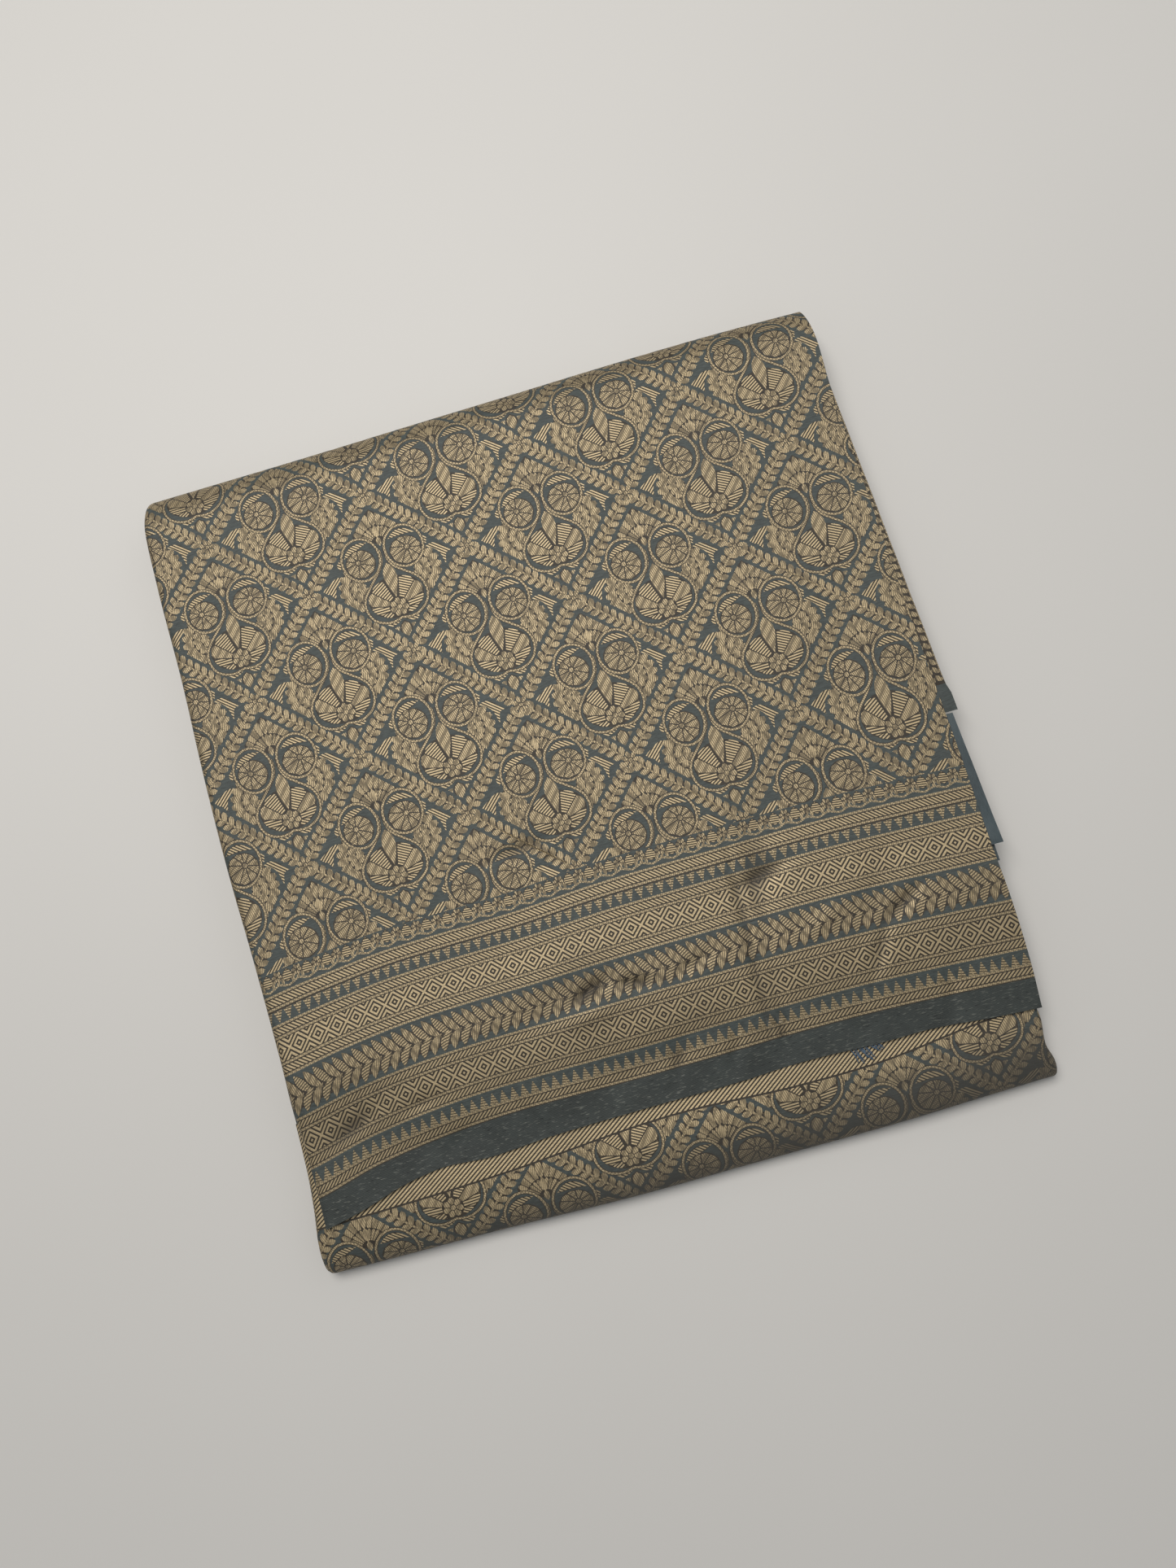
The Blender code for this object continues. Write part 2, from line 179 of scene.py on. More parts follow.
def panel(name, place, aim, size, power, colour):
    made = bpy.data.lights.new(name, "AREA")
    made.size = size
    made.energy = power
    made.color = colour
    holder = bpy.data.objects.new(name, made)
    toward = Vector(aim) - Vector(place)
    holder.matrix_world = Matrix.Translation(place) @ toward.to_track_quat("-Z", "Y").to_matrix().to_4x4()
    bpy.context.collection.objects.link(holder)


panel("overhead", (-0.16, 0.58, 1.5), (0.0, 0.16, 0), 0.9, 20.4, (1.0, 0.975, 0.94))
panel("window", (1.4, 1.0, 1.3), (0, 0, 0), 1.6, 2.4, (1.0, 0.99, 0.98))

# The field: the cloth's main stretch, teal silk brocaded in gold zari with brown outlines. Wheat ears make a
# lattice of diamonds, each with a flower, two stem rings, leaves and a palmette. It is woven in one with the
# border and lies over the top and round the far fold, with soft folds pressed into it.
GOLD = (0.440, 0.346, 0.206)
BROWN = (0.027, 0.020, 0.012)
TEAL = (0.043, 0.053, 0.050)
IN_SHADE = (0.050, 0.046, 0.039)


def shade(colour, share=1.0):
    """A colour made lighter or darker, with its alpha."""
    return tuple(share * c for c in colour) + (1,)


def brocade_finish(name, gold, painted_shade_span=None):
    """The yarns, by the weave and cloth maps. Where a span of picks is given, the cloth turns down there,
    away from the light, and painted shade darkens its colour and dulls its gold."""
    made, start = finish_named(name)
    weave, cloth = start.attribute("weave"), start.attribute("cloth")
    phase, yarn, rib = weave.part("X"), weave.part("Y"), weave.part("Z")
    across, picks, dent = cloth.part("X"), cloth.part("Y"), cloth.part("Z")
    slub = cloth.stretched((0.5, 2.4, 1.0)).noise(620.0, 3.0)
    patches = cloth.noise(26.0, 3.0)
    zari = yarn.rise(0.7, 0.8)
    line = yarn.rise(0.2, 0.3)
    # Fine ribs are broken into dashes, bold ones run through.
    row = phase.maths("FLOOR", phase)
    dash = (across * 720.0 + row * 0.5).wave().rise(0.62, 0.95) * (1.0 - rib.rise(0.85, 0.95)) * 0.75
    gap = dash.maths("MAXIMUM", dash, phase.wave().rise(0.46, 0.72) * rib)
    shine = (slub - 0.5) * 0.9 + (patches - 0.5) * 0.5
    floats = (shine + 0.5).rise(0.0, 1.0).blend(shade(gold, 0.62), shade(gold, 1.32))
    mottle = slub.rise(0.3, 0.75)
    brown = mottle.blend(shade(BROWN, 0.7), shade(BROWN, 1.7))
    teal = mottle.blend(shade(TEAL, 0.72), shade(TEAL, 1.5))
    colour = zari.blend(line.blend(teal, brown), gap.blend(floats, shade(BROWN)))
    grain = (across * 2600.0).wave() * (picks * 2300.0).wave()
    height = zari * (1.0 - gap) * 0.6 + slub * 0.5 + grain * 0.22
    # Painted shade: where a fold presses the cloth deep, its colour is darkened towards brown and its gold
    # made less metallic.
    pressed = dent.rise(0.0008, 0.0021)
    colour = (pressed * (0.55 + slub * 0.4)).blend(colour, shade(BROWN, 0.75))
    lit = zari * (1.0 - gap * 0.7) * (1.0 - pressed * 0.8)
    # Painted shade: across the given span of picks, slanting a little with x, the colour is darkened towards
    # a shade brown and the gold made less metallic.
    if painted_shade_span:
        turned = 1.0 - (picks - across * 0.07).rise(*painted_shade_span)
        colour = (turned * (patches.rise(0.2, 0.7) * 0.3 + 0.6)).blend(colour, shade(IN_SHADE))
        lit = lit * (1.0 - turned * 0.8)
    start.surface({
        "Base Color": colour,
        "Metallic": lit * 0.5,
        "Roughness": 0.62 - lit * 0.16 + (patches - 0.5) * 0.1,
        "Normal": height.relief(0.7, 0.00022),
    })
    return made


brocade = brocade_finish("brocade", GOLD)

# The pattern is drawn in millimetres: shapes are laid over each other in one diamond, which is then
# repeated. A shape has a yarn and ribs (turn in degrees, pitch, strength), and each corner of the mesh then
# carries the weave: rib phase, yarn, rib strength.
GROUND, OUTLINE, ZARI = 0.0, 0.5, 1.0
RIB = 1.25
FINE = (16.0, 0.95, 0.6)
CORD = (62.0, 0.9, 0.4)
GRAIN = (-12.0, 0.85, 0.35)
BARRED = (48.0, RIB, 1.0)
HALF_CELL = (40.63, 41.61)
SEVENTH = 51.43


def heading(degrees):
    return np.array((math.cos(math.radians(degrees)), math.sin(math.radians(degrees))))


def polar(centre, radius, degrees):
    return tuple(np.array(centre) + radius * heading(degrees))


def oval(centre, wide, high, steps):
    angles = np.radians(np.linspace(0, 360, steps, endpoint=False))
    return [(centre[0] + wide * math.cos(a), centre[1] + high * math.sin(a)) for a in angles]


def curve(knots, steps, closed=False):
    """A smooth line through given knots."""
    points = np.array(knots, float)
    count = len(points)
    found = []
    for k in range(count if closed else count - 1):
        start, end = points[k], points[(k + 1) % count]
        before = points[(k - 1) % count] if closed or k else start
        after = points[(k + 2) % count] if closed or k < count - 2 else end
        for t in np.linspace(0, 1, steps, endpoint=False):
            bend = 2 * before - 5 * start + 4 * end - after
            twist = 3 * start - before - 3 * end + after
            found.append(tuple(0.5 * (2 * start + (end - before) * t + bend * t**2 + twist * t**3)))
    return found if closed else found + [tuple(points[-1])]


def ribbon(line, width):
    points = np.array(line, float)
    run = np.gradient(points, axis=0)
    run /= np.linalg.norm(run, axis=1)[:, None]
    side = np.stack((-run[:, 1], run[:, 0]), axis=1) * width / 2
    return [tuple(p) for p in points + side] + [tuple(p) for p in (points - side)[::-1]]


def leaf(base, tip, width, bend=0.0, steps=6, full=0.5):
    """A pointed leaf; full says where along it is widest, bend bows its middle to the left."""
    base = np.array(base, float)
    run = np.array(tip, float) - base
    left = np.array((-run[1], run[0]))
    sides = ([], [])
    for k in range(1, steps):
        t = k / steps
        wide = width / 2 * math.sin(math.pi * t ** (math.log(0.5) / math.log(full))) ** 0.75
        middle = base + run * t + left * bend * 4 * t * (1 - t)
        side = left / np.linalg.norm(left) * wide
        sides[0].append(tuple(middle + side))
        sides[1].append(tuple(middle - side))
    return [tuple(base)] + sides[0] + [tuple(base + run)] + sides[1][::-1]


def edged_leaf(base, tip, width, ribs, bend, steps, full):
    """A gold leaf with a brown line round it."""
    return [(leaf(base, tip, width + 0.8, bend, steps, full), OUTLINE, FINE),
            (leaf(base, tip, width, bend, steps, full), ZARI, ribs)]


def fan(focus, edges, near, reach, gap, scallop, steps):
    """Petals round a focus, one between each two edge angles, out to reach(angle)."""
    petals = []
    for first, last in zip(edges, edges[1:]):
        petal = []
        for k in range(steps + 1):
            share = k / steps
            far = reach(first + (last - first) * share) * (1 - scallop * (2 * share - 1) ** 4 * 1.6)
            slack = math.degrees(gap / 2 / far) * (1 - 2 * share)
            petal.append(polar(focus, far, first + (last - first) * share + slack))
        start = max(near, gap / 2 / abs(math.sin(math.radians((last - first) / 2))))
        slack = math.degrees(math.asin(min(1.0, gap / 2 / start)))
        petals.append(petal + [polar(focus, start, last - slack), polar(focus, start, first + slack)])
    return petals


def to_oval(focus, centre, wide, high):
    """How far an oval's rim lies from a focus inside it, for any angle."""
    def reach(degrees):
        a = math.radians(degrees)
        dx, dy = math.cos(a) / wide, math.sin(a) / high
        px, py = (focus[0] - centre[0]) / wide, (focus[1] - centre[1]) / high
        b = px * dx + py * dy
        d = dx * dx + dy * dy
        return (-b + math.sqrt(b * b - (px * px + py * py - 1) * d)) / d
    return reach


def mirrored(shapes, axis):
    return [([(2 * axis - x, y) for x, y in p][::-1], yarn, (180 - s[0], *s[1:])) for p, yarn, s in shapes]


def overlay(outline, shapes, grid):
    """Lays shapes over each other inside an outline, on a loose grid of points that lets the cloth bend.
    Gives points, triangles, and the weave of each corner."""
    points = [Vector(p) for p in outline]
    faces = [list(range(len(outline)))]
    for shape, yarn, rib in shapes:
        x, y = np.array(shape).T
        if np.dot(x, np.roll(y, -1)) < np.dot(y, np.roll(x, -1)):
            shape = shape[::-1]
        faces.append(list(range(len(points), len(points) + len(shape))))
        points += [Vector(p) for p in shape]
    if grid:
        low, high = np.min(outline, axis=0), np.max(outline, axis=0)
        for x in np.arange(low[0] + grid / 2, high[0], grid):
            points += [Vector((x, y)) for y in np.arange(low[1] + grid / 2, high[1], grid)]
    found = delaunay_2d_cdt(points, [], faces, 1, 1e-3, True)
    kept = [(face, max(owners)) for face, owners in zip(found[2], found[5]) if 0 in owners]
    spots = np.array([tuple(p) for p in found[0]])
    weave = np.zeros((len(kept), 3, 3))
    for row, (face, top) in enumerate(kept):
        if top:
            yarn, (turn, pitch, rib) = shapes[top - 1][1:]
            weave[row, :, 0] = spots[face] @ (heading(turn) / pitch)
            weave[row, :, 1:] = (yarn, rib)
    return spots, np.array([face for face, top in kept]), weave


def repeated(unit, offsets):
    """The unit laid down once at each offset."""
    spots, corners, weave = unit
    all_spots = np.concatenate([spots + offset for offset in offsets])
    all_corners = np.concatenate([corners + len(spots) * k for k in range(len(offsets))])
    return all_spots, all_corners, np.tile(weave, (len(offsets), 1, 1))


def small_flower(centre, wide, high, focus, turn):
    """A round flower of ten petals, ribbed two ways by turns."""
    found = [(oval(centre, wide + 0.4, high + 0.4, 16), OUTLINE, FINE)]
    edges = [turn + 36 * k for k in range(11)]
    for k, petal in enumerate(fan(focus, edges, 1.7, to_oval(focus, centre, wide, high), 0.52, 0.03, 2)):
        found.append((petal, ZARI, (16.0 if k % 2 else 42.0, 0.85, 0.75)))
    return found + [(oval(focus, 1.2, 1.2, 7), ZARI, FINE)]


def stem(knots):
    line = curve(knots, 3)
    return [(ribbon(line, 1.7), OUTLINE, FINE), (ribbon(line, 0.95), ZARI, CORD)]


def ring(centre, wide, high, base, tip, bend):
    """A stem closed round a small flower, with a ribbed leaf that curls under its top."""
    rims = ((0.35, OUTLINE, FINE), (0.0, ZARI, CORD), (-1.0, OUTLINE, FINE), (-1.35, GROUND, FINE))
    found = [(oval(centre, wide + more, high + more, 21), yarn, weave) for more, yarn, weave in rims]
    return found + edged_leaf(base, tip, 3.1, (50.0, RIB, 1.0), bend, 6, 0.45)


def lotus(focus, centre, wide, high):
    """The large flower: petals that fan up from a low focus, ribbed and finely woven by turns."""
    found = [(oval(centre, wide, high, 20), OUTLINE, FINE)]
    found.append((leaf((focus[0], centre[1]), (0.6, 4.9), 7.9, full=0.35), OUTLINE, FINE))
    reach = to_oval(focus, centre, wide - 0.3, high - 0.3)
    edges = (-48, -12, 16, 44, 75, 105, 136, 164, 192, 228)
    # The turn of each petal's ribs from its middle line
    ribbed = (90, 90, None, 0, None, 0, None, 90, 90)
    for first, last, turn in zip(edges, edges[1:], ribbed):
        if first == 75:
            petal = leaf(polar(focus, 4.9, 90), (0.6, 4.3), 6.6, steps=7, full=0.62)
        else:
            petal = fan(focus, (first, last), 5.0, reach, 0.5, 0.04, 4)[0]
        found.append((petal, ZARI, FINE if turn is None else ((first + last) / 2 + turn, RIB, 1.0)))
    for petal in fan(focus, [-90 + SEVENTH * k for k in range(8)], 1.5, lambda a: 4.6, 0.4, 0.12, 3):
        found.append((petal, ZARI, FINE))
    return found + [(oval(focus, 1.2, 1.2, 7), ZARI, FINE)]


def lobed_leaf(drop):
    """Three tiers of narrow lobes beside the large flower."""
    focus = (12.4, -3.4 - drop)
    backing = [polar(focus, 13.0, 62 - 166 * k / 9) for k in range(10)]
    found = [(backing + [(11.0, -14.0 - drop), focus], OUTLINE, FINE)]
    tiers = ((62, -104, 9, 8.9, 13.9), (60, -102, 7, 4.9, 8.6), (60, -104, 4, 0.8, 4.6))
    for tier, (start, end, count, near, far) in enumerate(tiers):
        edges = [start + (end - start) * k / count for k in range(count + 1)]
        for k, petal in enumerate(fan(focus, edges, near, lambda a: far, 0.5, 0.10, 3)):
            found.append((petal, ZARI, FINE if (k + tier) % 2 else (-14.0, 0.95, 0.75)))
    return found


def horn(drop):
    """The ribbed, horned leaf outside each lobed leaf."""
    knots = ((21.6, 6.2), (25.0, 7.0), (29.4, 4.8), (34.2, 1.4), (30.7, 0.2), (29.4, -1.4), (28.3, -5.6),
             (27.6, -1.0), (26.2, 2.4), (23.8, 4.8))
    return [(curve([(x, y - drop) for x, y in knots], 2, closed=True), ZARI, BARRED)]


def palmette():
    focus = (0.4, 15.4)
    dome = ((0.4, 13.8), (4.6, 17.4), (11.6, 19.8), (12.4, 24.0), (9.0, 28.6), (4.2, 31.0), (0.4, 33.9),
            (-3.4, 31.0), (-8.2, 28.6), (-11.6, 24.0), (-10.8, 19.8), (-3.8, 17.4))
    found = [(dome, OUTLINE, FINE)]
    edges = (28, 43, 57, 70, 83)
    for near, reach in ((9.4, lambda a: 17.4 - 3.6 * (abs(a - 90) / 50) ** 1.5), (3.6, lambda a: 9.0)):
        sides = fan(focus, edges, near, reach, 0.36, 0.06, 3)
        sides += fan(focus, [180 - e for e in edges[::-1]], near, reach, 0.36, 0.06, 3)
        found += [(petal, ZARI, (16.0 if k < 4 else -14.0, 0.85, 0.6)) for k, petal in enumerate(sides)]
    found.append((leaf((0.4, 24.4), (0.4, 33.2), 3.4), ZARI, FINE))
    found.append((leaf((0.4, 18.2), (0.4, 25.0), 3.0), ZARI, GRAIN))
    found.append((leaf((0.4, 13.6), (0.4, 18.6), 2.6), ZARI, FINE))
    return found


def bud():
    found = [(leaf((0.2, -26.0), (-0.1, -35.6), 6.2, full=0.42), OUTLINE, FINE)]
    found.append((leaf((0.2, -26.6), (-0.1, -34.9), 4.9, full=0.42), ZARI, FINE))
    for side in (-1, 1):
        frond = leaf((side * 1.2, -25.4), (side * 9.4, -27.0), 3.7, side * 0.1)
        found.append((frond, ZARI, (55.0, RIB, 1.0)))
        found.append((leaf((side * 3.0, -28.4), (side * 6.6, -31.2), 2.5), ZARI, FINE))
    return found


def ear(start, end):
    """A wheat ear along one side of a diamond: pairs of grains on a thin stalk, dark between them."""
    start = np.array(start, float)
    run = np.array(end, float) - start
    length = np.linalg.norm(run)
    ahead = run / length
    left = np.array((-ahead[1], ahead[0]))
    stalk = (start + ahead * 3.8, start + ahead * (length - 3.8))
    layers = ((10.4, GROUND), (5.2, OUTLINE), (1.0, ZARI))
    found = [(ribbon(stalk, wide), yarn, FINE) for wide, yarn in layers]
    pairs = 13
    pitch = (length - 10.2) / (pairs - 1)
    for k in range(pairs):
        for side in (-1, 1):
            base = stalk[0] + ahead * pitch * k + left * side * 0.2
            tip = base + ahead * 3.7 + left * side * 3.4
            grain = leaf(base, tip, 2.9, steps=4, full=0.58)
            found.append((grain, ZARI, (20.0 if side > 0 else -12.0, 0.85, 0.6)))
    return found


def rosette(centre):
    found = [(oval(centre, 3.6, 3.6, 8), OUTLINE, FINE)]
    for petal in fan(centre, [22.5 + SEVENTH * k for k in range(8)], 1.35, lambda a: 4.5, 0.45, 0.2, 3):
        found.append((petal, ZARI, FINE))
    return found + [(oval(centre, 1.0, 1.0, 6), ZARI, FINE)]


LEFT_STEM = ((-0.2, -24.2), (-5.4, -25.3), (-10.7, -23.9), (-14.4, -20.4), (-15.7, -14.8), (-14.5, -10.2),
             (-11.2, -6.0), (-6.3, -1.1), (-2.2, 3.9), (-0.9, 8.8), (-1.1, 12.0))
RIGHT_STEM = ((-0.2, -24.2), (4.6, -25.0), (9.4, -23.8), (13.8, -20.2), (15.6, -14.8), (14.7, -9.4),
              (11.9, -5.5), (7.5, -1.8), (3.2, 2.2), (1.6, 6.8), (1.5, 12.0))


def diamond():
    """One diamond of the field about its middle, with half of each ear on its sides."""
    wide, high = HALF_CELL
    found = horn(0.0) + mirrored(horn(2.4), 0.0)
    found += lobed_leaf(0.0) + mirrored(lobed_leaf(1.0), 0.2)
    found += bud() + palmette()
    for side in (-1, 1):
        found.append((leaf((side * 22.2, 7.6), (side * 15.6, 22.4), 6.0, side * -0.06), ZARI, BARRED))
    for side in (-1, 1):
        found += ear((0, -high), (side * wide, 0)) + ear((side * wide, 0), (0, high))
    found.append((curve(RIGHT_STEM, 2) + curve(LEFT_STEM, 2)[:0:-1], GROUND, FINE))
    found += lotus((0.1, -18.8), (0.1, -13.5), 14.1, 10.6)
    found += stem(LEFT_STEM) + stem(RIGHT_STEM)
    found += ring((-10.9, 9.6), 10.0, 11.6, (-18.6, 12.6), (-5.6, 17.4), 0.10)
    found += ring((11.3, 10.2), 10.1, 11.4, (5.0, 15.8), (18.2, 15.2), 0.16)
    found += small_flower((-11.5, 7.5), 7.2, 7.2, (-12.5, 8.4), 8.0)
    found += small_flower((11.6, 7.7), 7.7, 7.1, (12.8, 8.9), 20.0)
    for corner in ((0, -high), (0, high), (-wide, 0), (wide, 0)):
        found += rosette(corner)
    return found


DIAMOND_EDGE = [(-HALF_CELL[0], 0), (0, -HALF_CELL[1]), (HALF_CELL[0], 0), (0, HALF_CELL[1])]
field_unit = overlay(DIAMOND_EDGE, diamond(), 5.0)


def lattice(low, high):
    """Middles of the diamonds that reach into a stretch of cloth."""
    found = []
    for i in range(-12, 13):
        for j in range(-12, 13):
            spot = np.array((i * HALF_CELL[0], j * HALF_CELL[1]))
            inside = all(low[k] - HALF_CELL[k] < spot[k] < high[k] + HALF_CELL[k] for k in (0, 1))
            if (i + j) % 2 == 0 and inside:
                found.append(spot)
    return found


def cloth_mesh(drawn):
    """A bmesh of the drawn pattern, flat, in millimetres, with the weave on its corners."""
    spots, corners, weave = drawn
    mesh = bpy.data.meshes.new("pattern")
    mesh.from_pydata(np.column_stack((spots, np.zeros(len(spots)))).tolist(), [], corners.tolist())
    layer = mesh.attributes.new("weave", "FLOAT_VECTOR", "CORNER")
    layer.data.foreach_set("vector", weave.astype(np.float32).ravel())
    made = bmesh.new()
    made.from_mesh(mesh)
    bpy.data.meshes.remove(mesh)
    bmesh.ops.remove_doubles(made, verts=made.verts, dist=0.02)
    return made


def shift(bm, axis, warp, sign):
    """Moves every vertex along one axis by a warp of its other coordinate."""
    co = np.array([v.co for v in bm.verts])
    for vert, value in zip(bm.verts, co[:, axis] + sign * warp(co[:, 1 - axis])):
        vert.co[axis] = value


def cut_lines(bm, axis, places, warp=None, clear="", within=None):
    """Cuts the flat cloth along lines at these places on one axis, each bent by the warp."""
    if warp:
        shift(bm, axis, warp, -1)
    for value in places:
        geom = bm.verts[:] + bm.edges[:] + bm.faces[:]
        if within:
            faces = [f for f in bm.faces if abs(f.verts[0].co[axis] - value) < within]
            geom = list({v for f in faces for v in f.verts})
            geom += list({e for f in faces for e in f.edges}) + faces
        normal = Vector((0, 1, 0) if axis else (1, 0, 0))
        bmesh.ops.bisect_plane(
            bm, geom=geom, dist=0.001, plane_co=normal * value, plane_no=normal,
            clear_outer=clear == "above", clear_inner=clear == "below")
    if warp:
        shift(bm, axis, warp, 1)


def trim_left(bm, left, turned, bends):
    """Trims the left side edge, and cuts the cloth finely where it curls in there."""
    cut_lines(bm, 0, [TURN - TURN * turned], left, clear="below")
    cut_lines(bm, 0, [TURN * (1 - math.radians(a)) for a in bends], left, within=14)


def trim_sides(bm, side):
    """Trims a stretch that curls in at its left and ends flat at its right."""
    trim_left(bm, lambda v: side(v, LEFT), 2.62, (0, 25, 50, 75, 100, 125))
    cut_lines(bm, 0, [0.0], lambda v: side(v, RIGHT), clear="above")


# How the cloth runs over the hidden stack, in millimetres like the CAD solids. Places are x along the border
# and v up the cloth from the middle; past the far fold v follows the cloth round.
HEIGHT = 24.0
ORIGIN_X = 1.87
FAR_START, FAR_DEEP, FAR_HIGH = 175.0, 17.5, 12.0
ROLL_TOP = 16.5
EDGE_TOP = 18.6
TURN = 3.4
LEFT, RIGHT = 1, 2
# Where the edges lie: place across the packet (y), left edge, right edge
TOP_OUTLINE = (
    (-192.0, -168.5, 171.0), (-170.0, -167.2, 171.0), (-157.0, -166.8, 171.6), (-144.0, -166.8, 172.4),
    (-106.0, -167.2, 172.0), (-80.0, -167.9, 170.9), (-40.0, -169.2, 170.1), (0.0, -171.2, 168.7),
    (40.0, -172.0, 167.7), (98.0, -171.9, 166.2), (148.0, -172.9, 165.2), (175.0, -172.6, 165.6),
    (192.0, -170.6, 163.6))
LOW_OUTLINE = (
    (-193.0, -173.4, 172.6), (-185.0, -173.6, 171.9), (-178.0, -173.2, 169.8), (-164.0, -171.4, 170.6),
    (-150.0, -170.4, 169.4), (-90.0, -170.6, 169.0), (0.0, -171.0, 170.2), (90.0, -171.4, 168.6),
    (192.0, -170.4, 165.4))
# How far the front and the far fold bow out: x, front, far
BOWS = (
    (-172.0, 2.2, -1.9), (-100.0, 1.0, -1.6), (0.0, 0.0, -0.6), (60.0, 0.2, 0.0), (100.0, 0.9, 0.2),
    (130.0, 1.6, -0.2), (172.0, 2.4, -1.6))
# The top ply's free front edge: x, y
FREE_EDGE = (
    (-172.0, -170.0), (-147.0, -164.6), (-127.0, -158.8), (-108.0, -155.8), (-86.0, -156.8), (-58.0, -155.2),
    (-10.0, -154.2), (30.0, -154.0), (67.0, -152.8), (98.0, -153.8), (123.0, -153.8), (148.0, -156.0),
    (174.0, -157.6))
# Soft folds pressed into the top: middle x, middle y, half length, half width, depth, turn in degrees
FOLDS = (
    (56.5, -146.0, 13.0, 1.7, 1.5, 84.0), (57.0, -118.0, 62.0, 7.0, 0.91, 82.0),
    (54.0, -96.0, 56.0, 1.6, 0.8, 87.0), (58.5, -92.0, 40.0, 2.6, -0.42, 86.0),
    (-38.0, -98.0, 26.0, 8.0, 0.91, 20.0), (66.0, -66.0, 34.0, 9.0, 0.78, 65.0),
    (-104.0, -146.0, 20.0, 9.0, 1.04, 0.0), (0.0, -134.0, 30.0, 8.0, 0.91, 15.0),
    (-150.0, -128.0, 30.0, 10.0, 0.78, 35.0), (112.0, -96.0, 24.0, 8.0, 0.65, 60.0),
    (-118.0, 20.0, 60.0, 16.0, 0.5, 78.0), (-40.0, 60.0, 70.0, 20.0, 0.45, 12.0),
    (80.0, 90.0, 64.0, 16.0, 0.5, -18.0), (130.0, 20.0, 40.0, 12.0, 0.5, 70.0),
    (-36.4, -26.7, 15.0, 3.6, 1.33, 6.0), (-22.0, -34.0, 8.0, 2.6, 0.76, 30.0),
    (69.5, -66.9, 12.0, 3.2, 1.23, 14.0), (-21.3, -97.1, 9.0, 3.2, 2.0, 24.0),
    (-0.7, -99.0, 8.0, 2.8, 1.9, -12.0), (27.7, -97.6, 9.0, 3.0, 0.95, 18.0),
    (-22.8, -108.0, 12.0, 4.0, -0.76, 8.0), (-141.0, -126.9, 11.0, 3.6, 1.14, 26.0),
    (-108.5, -125.5, 10.0, 3.2, 0.95, 10.0), (126.1, -96.1, 10.0, 3.0, 1.5, 34.0),
    (109.7, -114.9, 12.0, 3.0, 1.14, 60.0), (90.0, -94.0, 11.0, 4.0, -0.66, 30.0),
    (-97.7, -147.5, 9.0, 3.4, 1.14, 40.0), (8.2, -139.5, 10.0, 3.2, 1.14, 66.0),
    (92.3, -146.0, 8.0, 3.0, 1.04, 104.0), (34.0, -142.0, 12.0, 2.6, 0.95, 62.0),
    (-60.0, -148.0, 10.0, 2.6, 0.85, 118.0), (136.0, -140.0, 12.0, 3.0, 0.85, 70.0))


def through(rows, place, column=1):
    """A smooth curve through one column of a table, read at many places."""
    xs, ys = np.array(rows).T[[0, column]]
    x = np.clip(place, xs[0], xs[-1])
    k = np.clip(np.searchsorted(xs, x) - 1, 0, len(xs) - 2)
    slopes = np.gradient(ys, xs)
    step = xs[k + 1] - xs[k]
    t = (x - xs[k]) / step
    start = ys[k] * (1 + 2 * t) + slopes[k] * step * t
    end = ys[k + 1] * (3 - 2 * t) + slopes[k + 1] * step * (t - 1)
    return start * (1 - t) ** 2 + end * t**2


def ease(value, low, high):
    t = np.clip((np.asarray(value, float) - low) / (high - low), 0.0, 1.0)
    return t * t * (3 - 2 * t)


def fold_depth(x, y):
    """How far the folds press the top down."""
    depth = np.zeros_like(x)
    for middle_x, middle_y, half_length, half_width, deep, turn in FOLDS:
        along_x, along_y = heading(turn)
        along = ((x - middle_x) * along_x + (y - middle_y) * along_y) / half_length
        across = ((y - middle_y) * along_x - (x - middle_x) * along_y) / half_width
        depth += deep * np.exp(-along * along - across * across)
    ripple = np.sin(x / 17.0 + 0.9 * np.sin(y / 23.0)) * np.sin(y / 14.0 + 1.3)
    return depth + 0.16 + 0.16 * ripple


class Bend:
    """A fold that is part of an ellipse about (y, z), followed by the cloth's length from its first angle."""

    def __init__(self, y, z, deep, high, start, end):
        self.middle = (y, z)
        self.radii = (deep, high)
        self.angles = np.radians(np.linspace(start, end, 200))
        steps = np.hypot(np.diff(deep * np.cos(self.angles)), np.diff(high * np.sin(self.angles)))
        self.lengths = np.concatenate(([0.0], np.cumsum(steps)))
        self.length = self.lengths[-1]

    def path(self, away):
        """y, z and the outward normal."""
        angle = np.interp(away, self.lengths, self.angles)
        (y, z), (deep, high) = self.middle, self.radii
        normal = np.stack((high * np.cos(angle), deep * np.sin(angle)))
        return np.stack((y + deep * np.cos(angle), z + high * np.sin(angle), *(normal / np.hypot(*normal))))


def flat_path(v, z):
    return np.stack((v, np.full_like(v, z), np.zeros_like(v), np.ones_like(v)))


far_bend = Bend(FAR_START, FAR_HIGH, FAR_DEEP, FAR_HIGH, 90, -58)
FAR_END = FAR_START + far_bend.length


def top_path(v):
    """y, z and outward normal of a place up the top ply."""
    return np.where(v > FAR_START, far_bend.path(v - FAR_START), flat_path(v, HEIGHT))


def top_side(v, side):
    """The left or right edge of the top ply, which comes to the lower outline as it turns under."""
    y, z = top_path(v)[:2]
    upper = ease(z, 4, 20)
    return upper * through(TOP_OUTLINE, y, side) + (1 - upper) * through(LOW_OUTLINE, y, side)


def turned_in(x, left, turn, most):
    """x and depth of a place on a folded edge, which curls in past its outline."""
    a = np.clip((left + turn - x) / turn, 0.0, most)
    return np.where(a > 0, left + turn - turn * np.sin(a), x), turn * (1 - np.cos(a))


def front_bow(x, y):
    return through(BOWS, x, 1) * ease(-y, 120, 176)


def far_bow(x, y):
    return through(BOWS, x, 2) * ease(y, 110, 176)


